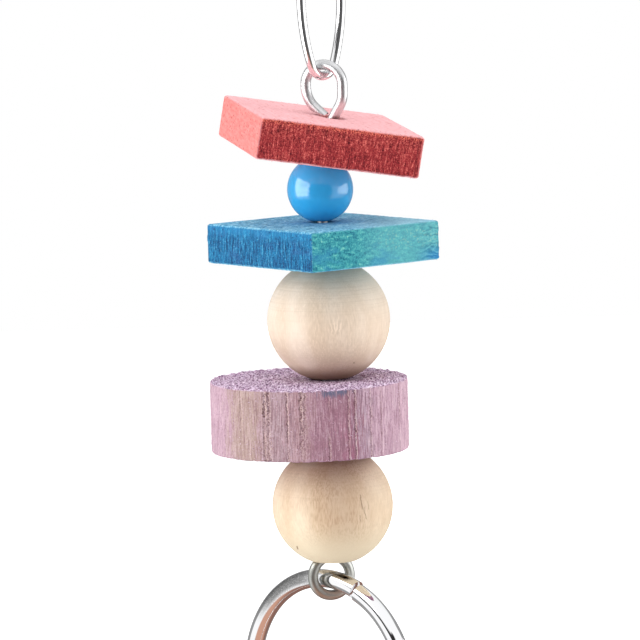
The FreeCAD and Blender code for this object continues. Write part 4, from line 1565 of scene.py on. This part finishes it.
@dataclass
class Block:
    """Square chew block, drilled, with rough sawn end grain on two opposite sides."""

    wood: Wood
    seat: Seat
    material: bpy.types.Material
    side: float
    height: float
    bore: float
    hole_x: float
    hole_y: float
    end_axis: int
    roughness: float
    seed: int
    corner: float
    columns: int = 560

    def outline(self) -> Tuple[np.ndarray, np.ndarray]:
        """Evenly spaced points round the square with its corners rounded.

        Returns:
            Points and the directions they face, with the hole at the origin.
        """
        straight = self.side - 2 * self.corner
        bend = math.pi / 2 * self.corner
        total = 4 * (straight + bend)
        points, facing = [], []
        for along in np.arange(self.columns) / self.columns * total:
            quarter, rest = divmod(along, straight + bend)
            turn = quarter * math.pi / 2
            if rest < straight:
                local = (self.side / 2, rest - straight / 2)
                angle = 0.0
            else:
                angle = (rest - straight) / self.corner
                local = (straight / 2 + self.corner * math.cos(angle),
                         straight / 2 + self.corner * math.sin(angle))
            cosine, sine = math.cos(turn), math.sin(turn)
            points.append((local[0] * cosine - local[1] * sine - self.hole_x,
                           local[0] * sine + local[1] * cosine - self.hole_y))
            facing.append((math.cos(turn + angle), math.sin(turn + angle)))
        return np.array(points), np.array(facing)

    def worn(self, points: np.ndarray, facing: np.ndarray) -> Tuple[np.ndarray, Dict]:
        """Rough sawn ends, chipped rims and faint planing marks.

        Args:
            points: Points of the plain block.
            facing: The directions they face.

        Returns:
            The shift of each point and the attributes that the finish reads.
        """
        noise = LatticeNoise(self.seed)
        end_axis, side_axis = self.end_axis, 1 - self.end_axis
        end = unit_step(np.abs(facing[:, end_axis]), 0.55, 0.85)
        side = unit_step(np.abs(facing[:, side_axis]), 0.55, 0.85)
        flat = unit_step(np.abs(facing[:, 2]), 0.55, 0.85)
        fibres = noise.layered(points, 0.5, 0.5, 2.0)
        crumbs = LatticeNoise(self.seed + 5).layered(points, 0.55, 0.55, 0.55, octaves=2)
        swell = LatticeNoise(self.seed + 9).at(points, 6.0, 6.0, 6.0)
        depth = end * self.roughness * (0.5 * fibres + 0.5 * crumbs + 0.3 * swell - 0.5)
        grain = [0.6, 0.6, 0.6]
        grain[end_axis] = 9.0
        marks = LatticeNoise(self.seed + 2).layered(points, *grain)
        depth += (side + flat) * (0.035 * marks - 0.03)
        near_rim = np.maximum(unit_step(points[:, 2], self.height - 0.9, self.height),
                              unit_step(points[:, 2], 0.9, 0.0))
        reach = np.array([self.hole_x, self.hole_y])[end_axis]
        half = self.side / 2
        near_end = unit_step(np.abs(points[:, end_axis] + reach), half - 1.0, half)
        chips = np.clip(LatticeNoise(self.seed + 3).layered(points, 1.3, 1.3, 1.3), 0.0, 1.0)
        depth -= near_rim * near_end * (0.12 + 0.45 * chips) * np.maximum(end, 0.6 * flat)
        fuzz = end * np.clip(0.35 + 0.65 * near_rim, 0.0, 1.0)
        fuzz = np.maximum(fuzz, flat * near_end * 0.5)
        return facing * depth[:, None], {
            "faces": np.stack([end, side, flat], axis=1),
            "fuzz": np.repeat(fuzz[:, None], 3, axis=1)}

    def build(self) -> bpy.types.Object:
        """Build the block.

        Returns:
            The dressed block.
        """
        outline, outward = self.outline()
        section = Section(
            self.height, self.bore, BLOCK_EDGE, wall_rows=38, top_rows=60, bottom_rows=34)
        slab = Slab(self.wood, self.seat, section, outline, outward)
        return slab.build(self.material, self.worn)


@dataclass
class Slice:
    """Thick round slice with cracked, fibrous bark-side wall and rough end grain."""

    seat: Seat
    material: bpy.types.Material
    diameter: float = 48.4
    height: float = 17.4
    bore: float = 7.0
    offset: float = 4.35
    edge: float = 0.5
    columns: int = 600
    seed: int = 41

    def worn(self, points: np.ndarray, facing: np.ndarray) -> Tuple[np.ndarray, Dict]:
        """Upright fibres and cracks on the wall, pits and crumbs on the faces.

        Args:
            points: Points of the plain slice.
            facing: The directions they face.

        Returns:
            The shift of each point and the attributes that the finish reads.
        """
        turn = np.degrees(np.arctan2(points[:, 0] + self.offset, -points[:, 1]))
        turn = np.where(turn < -90.0, turn + 360.0, turn)
        away = np.hypot(points[:, 0] + self.offset, points[:, 1])
        outer = away > self.diameter / 4
        flat = unit_step(np.abs(facing[:, 2]), 0.5, 0.9)
        wall = 1.0 - flat
        noise = LatticeNoise(self.seed)
        threads = noise.layered(points, 0.6, 0.6, 9.0)
        crumbs = LatticeNoise(self.seed + 1).layered(points, 0.6, 0.6, 0.6, octaves=2)
        depth = wall * outer * (0.05 * threads + 0.03 * crumbs - 0.08)
        wander = np.degrees(LatticeNoise(self.seed + 2).layered(points, 2.0, 2.0, 0.8) * 0.3
                            / (self.diameter / 2))
        broken = LatticeNoise(self.seed + 3).at(points, 3.0, 3.0, 4.0)
        parted = np.clip(0.8 + 0.7 * broken, 0.0, 1.0)
        for crack in CRACKS:
            aside = np.radians(turn + crack.wander * wander - crack.angle) * self.diameter / 2
            depth -= wall * outer * crack.deep * np.exp(-(aside / crack.wide) ** 2) * parted
            depth += wall * outer * 0.06 * np.exp(-((aside - 0.5) / 0.3) ** 2) * parted
        pits = np.clip(LatticeNoise(self.seed + 4).layered(points, 0.8, 0.8, 0.8) - 0.35, 0.0, 1.0)
        top = 0.3 * crumbs + 0.02 - 0.7 * pits
        near_hole = unit_step(np.hypot(points[:, 0], points[:, 1]), 11.0, 8.0)
        upper = unit_step(points[:, 2], 0.4 * self.height, 0.6 * self.height)
        depth += flat * np.minimum(top, (0.25 - 0.3 * near_hole) * upper - 0.1 * (1.0 - upper))
        rim = unit_step(away, self.diameter / 2 - 1.6, self.diameter / 2 - 0.4)
        high = np.maximum(unit_step(points[:, 2], self.height - 1.2, self.height),
                          unit_step(points[:, 2], 1.2, 0.0))
        chips = np.clip(LatticeNoise(self.seed + 5).layered(points, 1.0, 1.0, 1.0), 0.0, 1.0)
        depth -= rim * high * 0.4 * chips
        fuzz = np.clip(flat * (0.5 + 0.5 * rim) * upper + 0.1 * wall, 0.0, 1.0) * outer
        return facing * depth[:, None], {
            "faces": np.stack([np.zeros_like(wall), wall, flat], axis=1),
            "turn": np.stack([turn, wander, parted], axis=1),
            "fuzz": np.repeat(fuzz[:, None], 3, axis=1)}

    def build(self) -> bpy.types.Object:
        """Build the slice.

        Returns:
            The dressed slice.
        """
        outward = spokes_of(self.columns)
        outline = outward * self.diameter / 2 - np.array([self.offset, 0.0])
        section = Section(self.height, self.bore, self.edge, wall_rows=54, top_rows=58,
                          bottom_rows=34)
        slab = Slab(Wood.PURPLE_DISC, self.seat, section, outline, outward)
        return slab.build(self.material, self.worn)


@dataclass
class Ball:
    """Round piece turned about its drilled hole."""

    node: str
    material: bpy.types.Material
    bore: float
    mouth: float
    marks: float
    seed: int
    columns: int = 288
    rows: int = 150

    def build(self) -> bpy.types.Object:
        """Build the ball.

        Returns:
            The dressed ball.
        """
        low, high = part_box(self.node)
        middle = middle_of(self.node)
        radius = (high.x - low.x) / 2 / MM
        mouth_z = math.sqrt(radius ** 2 - (self.mouth / 2) ** 2)
        bore_z = mouth_z - (self.mouth - self.bore) / 2
        latitude = math.atan2(mouth_z, self.mouth / 2)
        outer = np.linspace(-latitude, latitude, self.rows)
        around = [(radius * math.cos(angle), radius * math.sin(angle)) for angle in outer]
        chamfer = [(self.bore / 2 + (self.mouth - self.bore) / 2 * share,
                    bore_z + (mouth_z - bore_z) * share) for share in (0.66, 0.33, 0.0)]
        hole = [(self.bore / 2, level) for level in np.linspace(bore_z, -bore_z, 14)[1:-1]]
        lower = [(across, -level) for across, level in chamfer[::-1]]
        section = np.array(around + chamfer + hole + lower)
        spokes = spokes_of(self.columns)
        points = raised(spokes[:, None, :] * section[None, :, 0, None], section[:, 1])
        facing = points / np.linalg.norm(points, axis=1)[:, None]
        on_ball = np.linalg.norm(points, axis=1) > radius - 0.01
        if self.marks > 0.0:
            turned = LatticeNoise(self.seed).layered(points, 60.0, 60.0, 0.5)
            strokes = LatticeNoise(self.seed + 1).layered(points, 0.7, 0.7, 5.0)
            depth = self.marks * (turned + 0.8 * strokes - 1.0) * on_ball
        else:
            depth = np.zeros(len(points))
        moved = points + facing * depth[:, None] + np.array(middle)
        suffix = "_bead" if self.marks == 0.0 else "_wood"
        made = mesh_object(
            self.node + suffix, moved, closed_grid(self.columns, len(section)).tolist(),
            self.material, {"place": points})
        face_outwards(made)
        return dress(made, self.node)


@dataclass(frozen=True)
class Softbox:
    """One soft lamp, aimed at the toy."""

    name: str
    place: Tuple[float, float, float]
    width: float
    height: float
    power: float
    reflected: bool = True
    lights_wood: bool = True

    def build(self, target: Vector) -> None:
        """Hang the lamp.

        Args:
            target: The point it faces, in metres.
        """
        light = bpy.data.lights.new(self.name, "AREA")
        light.shape = "RECTANGLE"
        light.size, light.size_y = self.width, self.height
        light.energy = self.power
        lamp = bpy.data.objects.new(self.name, light)
        lamp.location = target + Vector(self.place)
        lamp.rotation_euler = (target - lamp.location).to_track_quat("-Z", "Y").to_euler()
        lamp.visible_camera = False
        lamp.visible_glossy = self.reflected
        lamp.visible_diffuse = self.lights_wood
        bpy.context.scene.collection.objects.link(lamp)


@dataclass
class Studio:
    """White room, pale floor, soft lamps and the camera."""

    aim: Vector
    distance: float = 1.2195
    elevation: float = 6.4
    roll: float = 1.46
    lens: float = 281.25
    floor_drop: float = 0.34
    floor_size: float = 6.0
    nearest: float = 0.05
    farthest: float = 30.0
    front_light: float = 0.18
    back_light: float = 0.9
    lamps: Tuple[Softbox, ...] = (
        Softbox("left_window", (-0.57, -0.24, 0.13), 0.74, 0.56, 4.3, reflected=False),
        Softbox("left_card", (-0.0906, -0.0422, 0.041), 0.107, 0.107, 0.115, lights_wood=False),
        Softbox("right_window", (0.62, -0.02, 0.05), 0.55, 0.33, 1.05),
        Softbox("right_fill", (0.8, -0.1, 0.2), 0.7, 0.7, 3.0, reflected=False),
        Softbox("front_fill", (0.0, -1.0, 0.9), 0.9, 0.9, 4.2, reflected=False),
        Softbox("top_box", (0.0, -0.1, 0.75), 0.6, 0.6, 2.8, reflected=False),
        Softbox("low_fill", (0.0, -0.3, -0.32), 0.6, 0.4, 0.7, reflected=False))

    def room(self) -> None:
        """White back wall, dimmer side walls, unlit camera side and a warm table below.

        The camera and see-through parts are shown plain white. Only reflections show the rest.
        """
        world = bpy.data.worlds.new("white_room")
        bpy.context.scene.world = world
        world.use_nodes = True
        canvas = Canvas(world.node_tree)
        path = canvas.node("ShaderNodeLightPath", {}).outputs
        toward = canvas.node("ShaderNodeTexCoord", {}).outputs["Generated"]
        x, y, z = canvas.split(toward)
        unlit = canvas.span(y, -0.66, -0.8) * canvas.span(z, 0.5, 0.36)
        bearing = canvas.sum("ARCTAN2", x, y * -1.0)
        level = z - canvas.span(bearing, -0.7, -0.17, 0.28, 0.46)
        flag = canvas.window(level, 0.0, 0.1, 0.03) * canvas.window(bearing, -0.72, 0.6, 0.08)
        unlit = canvas.sum("MAXIMUM", unlit * 0.93, flag)
        wall = canvas.sum("MINIMUM", 1.05 - unlit * 1.02, canvas.span(y, 0.1, 0.25, 1.05, 0.32))
        wall = canvas.sum("MAXIMUM", wall, canvas.span(y, 0.93, 0.97))
        wall = canvas.sum("MAXIMUM", wall, canvas.span(z, 0.55, 0.7))
        white = canvas.node("ShaderNodeCombineColor", {0: wall, 1: wall, 2: wall}).outputs[0]
        table = canvas.span(z, -0.42, -0.56) * canvas.span(x, -0.62, -0.45)
        table_tone = canvas.blend(
            canvas.span(y, -0.35, 0.25), (0.66, 0.36, 0.26), (0.26, 0.14, 0.11))
        seen = canvas.blend(table, white, table_tone)
        glow = canvas.span(y, -0.35, 0.35, self.front_light, self.back_light)
        lit = canvas.node("ShaderNodeCombineColor", {0: glow, 1: glow, 2: glow}).outputs[0]
        plain = canvas.sum("MAXIMUM", path["Is Camera Ray"], path["Is Transmission Ray"])
        light = canvas.blend(path["Is Glossy Ray"], lit, seen)
        canvas.feed(world.node_tree.nodes["Background"].inputs["Color"],
                    canvas.blend(plain, light, (1.0, 1.0, 1.0)))

    def floor(self) -> None:
        """Pale floor far below, white to the camera except where the toy shades it."""
        bpy.ops.mesh.primitive_plane_add(
            size=self.floor_size, location=(0.0, 0.0, self.aim.z - self.floor_drop))
        floor = bpy.context.object
        floor.name = "pale_floor"
        floor.visible_glossy = False
        recipe = Recipe("pale_floor")
        path = recipe.node("ShaderNodeLightPath", {}).outputs
        lift = recipe.sum("MULTIPLY", path["Is Camera Ray"], 0.8)
        floor.data.materials.append(recipe.finish(
            Base_Color=(0.9, 0.9, 0.9), Roughness=1.0, Specular_IOR_Level=0.0,
            Emission_Color=(1.0, 1.0, 1.0), Emission_Strength=lift))

    def camera(self) -> None:
        """Long lens at the photograph's viewing angle."""
        rise, roll = math.radians(self.elevation), math.radians(self.roll)
        right = Vector((math.cos(roll), 0.0, -math.sin(roll)))
        up = Vector(
            (math.cos(rise) * math.sin(roll), math.sin(rise), math.cos(rise) * math.cos(roll)))
        back = right.cross(up)
        data = bpy.data.cameras.new("camera")
        data.sensor_width = 36.0
        data.lens = self.lens
        data.clip_start, data.clip_end = self.nearest, self.farthest
        camera = bpy.data.objects.new("camera", data)
        turn = Matrix((right, up, back)).transposed().to_4x4()
        camera.matrix_world = Matrix.Translation(self.aim + back * self.distance) @ turn
        bpy.context.scene.collection.objects.link(camera)
        bpy.context.scene.camera = camera

    def build(self) -> None:
        """Build the studio."""
        self.room()
        self.floor()
        for lamp in self.lamps:
            lamp.build(self.aim)
        self.camera()
        bpy.context.scene.view_settings.view_transform = "Standard"


def red_seat() -> Seat:
    """Seat of the tilted block, whose hole sits on the bead like a cup on a ball."""
    low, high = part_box("blue_bead")
    bead_radius = (high.x - low.x) / 2 / MM
    hole_radius, gap = 3.5, 0.2
    yaw, pitch, roll = 14.4, 9.4, 4.2
    turn = Seat(Vector(), yaw, pitch, roll).turn()
    rise = math.sqrt((bead_radius + gap) ** 2 - hole_radius ** 2)
    return Seat(middle_of("blue_bead") + Vector(turn[:, 2]) * rise, yaw, pitch, roll)


def main() -> None:
    """Build every piece in order, from the hanging link down."""
    logging.basicConfig(level=logging.INFO, format="%(name)s: %(message)s")
    sweep, fibres = sweep_tree(), fibre_tree()

    link_finish = BrightWire("bright_link", roughness=0.09).make()
    HangingLink(Wire(Metal.HANGING_LINK, diameter=2.2, sides=48, material=link_finish)).build(sweep)
    core = CoreWire(Wire(Metal.CORE_WIRE, diameter=2.5, sides=44, material=SatinWire().make()))
    core.build(sweep)
    ring_finish = BrightWire("bright_ring", matte_from=13.0, matte_to=33.0).make()
    LowerRing(Wire(Metal.LOWER_RING, diameter=4.55, sides=56, material=ring_finish)).build(sweep)

    axis = core.axis()
    red = Block(Wood.RED_BLOCK, red_seat(), RedDye().make(), side=41.0, height=10.3, bore=7.0,
                hole_x=1.75, hole_y=-0.75, end_axis=1, roughness=0.26, seed=11,
                corner=1.1).build()
    red_fibre = LooseFibre("red_fibre", dye(150, 50, 52), dye(232, 118, 108)).make()
    Fuzz(Wood.RED_BLOCK, red_fibre, length=0.5, width=0.07, per_square_mm=3.6,
         seed=3).build(red, fibres)
    blue_low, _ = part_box(Wood.BLUE_BLOCK.value)
    blue_seat = Seat(Vector((axis[0], axis[1], blue_low.z / MM)), yaw=39.7)
    blue = Block(Wood.BLUE_BLOCK, blue_seat, BlueDye().make(), side=40.3, height=9.7, bore=5.0,
                 hole_x=0.0, hole_y=0.0, end_axis=0, roughness=0.28, seed=23,
                 corner=0.4).build()
    blue_fibre = LooseFibre("blue_fibre", dye(40, 110, 170), dye(120, 196, 220)).make()
    Fuzz(Wood.BLUE_BLOCK, blue_fibre, length=0.4, width=0.06, per_square_mm=2.2,
         seed=5).build(blue, fibres)
    disc_low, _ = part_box(Wood.PURPLE_DISC.value)
    disc = Slice(Seat(Vector((axis[0], axis[1], disc_low.z / MM))), PurpleDye().make()).build()
    purple_fibre = LooseFibre("purple_fibre", dye(158, 120, 148), dye(236, 214, 234)).make()
    Fuzz(Wood.PURPLE_DISC, purple_fibre, length=0.6, width=0.1, per_square_mm=3.0,
         seed=7).build(disc, fibres)

    Ball("blue_bead", GlossyBead().make(), bore=4.0, mouth=4.8, marks=0.0, seed=0,
         columns=160, rows=96).build()
    upper = PlainTurned(
        "upper_turned_wood", dye(216, 194, 172), dye(228, 210, 192), dye(176, 152, 128),
        turning=0.16, streaks=0.24, drift=0.2, middle=0.18, figure=0.45,
        # Painted shade at the bottom, where the slice below shades the ball, and a warm painted
        # tint at the top that offsets the blue light the block above reflects onto it
        painted_zones=(
            PaintedLightZone(-9.4, -13.6, 0.85, dye(128, 98, 78)), PaintedLightZone(4.0, 13.0, 0.3, dye(214, 176, 152))),
        marks=(Mark(5.9, -9.5, 0.16, 0.14, 0.0, 0.9),))
    Ball(Wood.UPPER_BALL.value, upper.make(), bore=7.5, mouth=10.0, marks=0.012,
         seed=61).build()
    lower = PlainTurned(
        "lower_turned_wood", dye(212, 187, 158), dye(225, 205, 180), dye(160, 126, 98),
        turning=0.08, streaks=0.46, drift=0.2, middle=0.46,
        # Painted shade at the top, under the slice, and painted light from below on the lower half
        painted_zones=(
            PaintedLightZone(9.0, 13.6, 0.55, dye(128, 100, 80)), PaintedLightZone(-1.0, -11.0, 0.8, dye(210, 196, 170))),
        marks=(
            Mark(7.0, 2.4, 0.09, 1.8, 0.12, 0.75), Mark(7.8, -0.4, 0.09, 1.5, 0.15, 0.65),
            Mark(6.6, -1.6, 0.08, 0.9, 0.1, 0.7), Mark(8.6, 1.4, 0.07, 1.0, 0.1, 0.5),
            Mark(-8.9, -9.3, 0.16, 0.5, 0.1, 0.95)))
    Ball(Wood.LOWER_BALL.value, lower.make(), bore=7.5, mouth=11.3, marks=0.012,
         seed=71).build()

    Studio(aim=Vector(AIM) * MM).build()


if __name__ == "__main__":
    main()
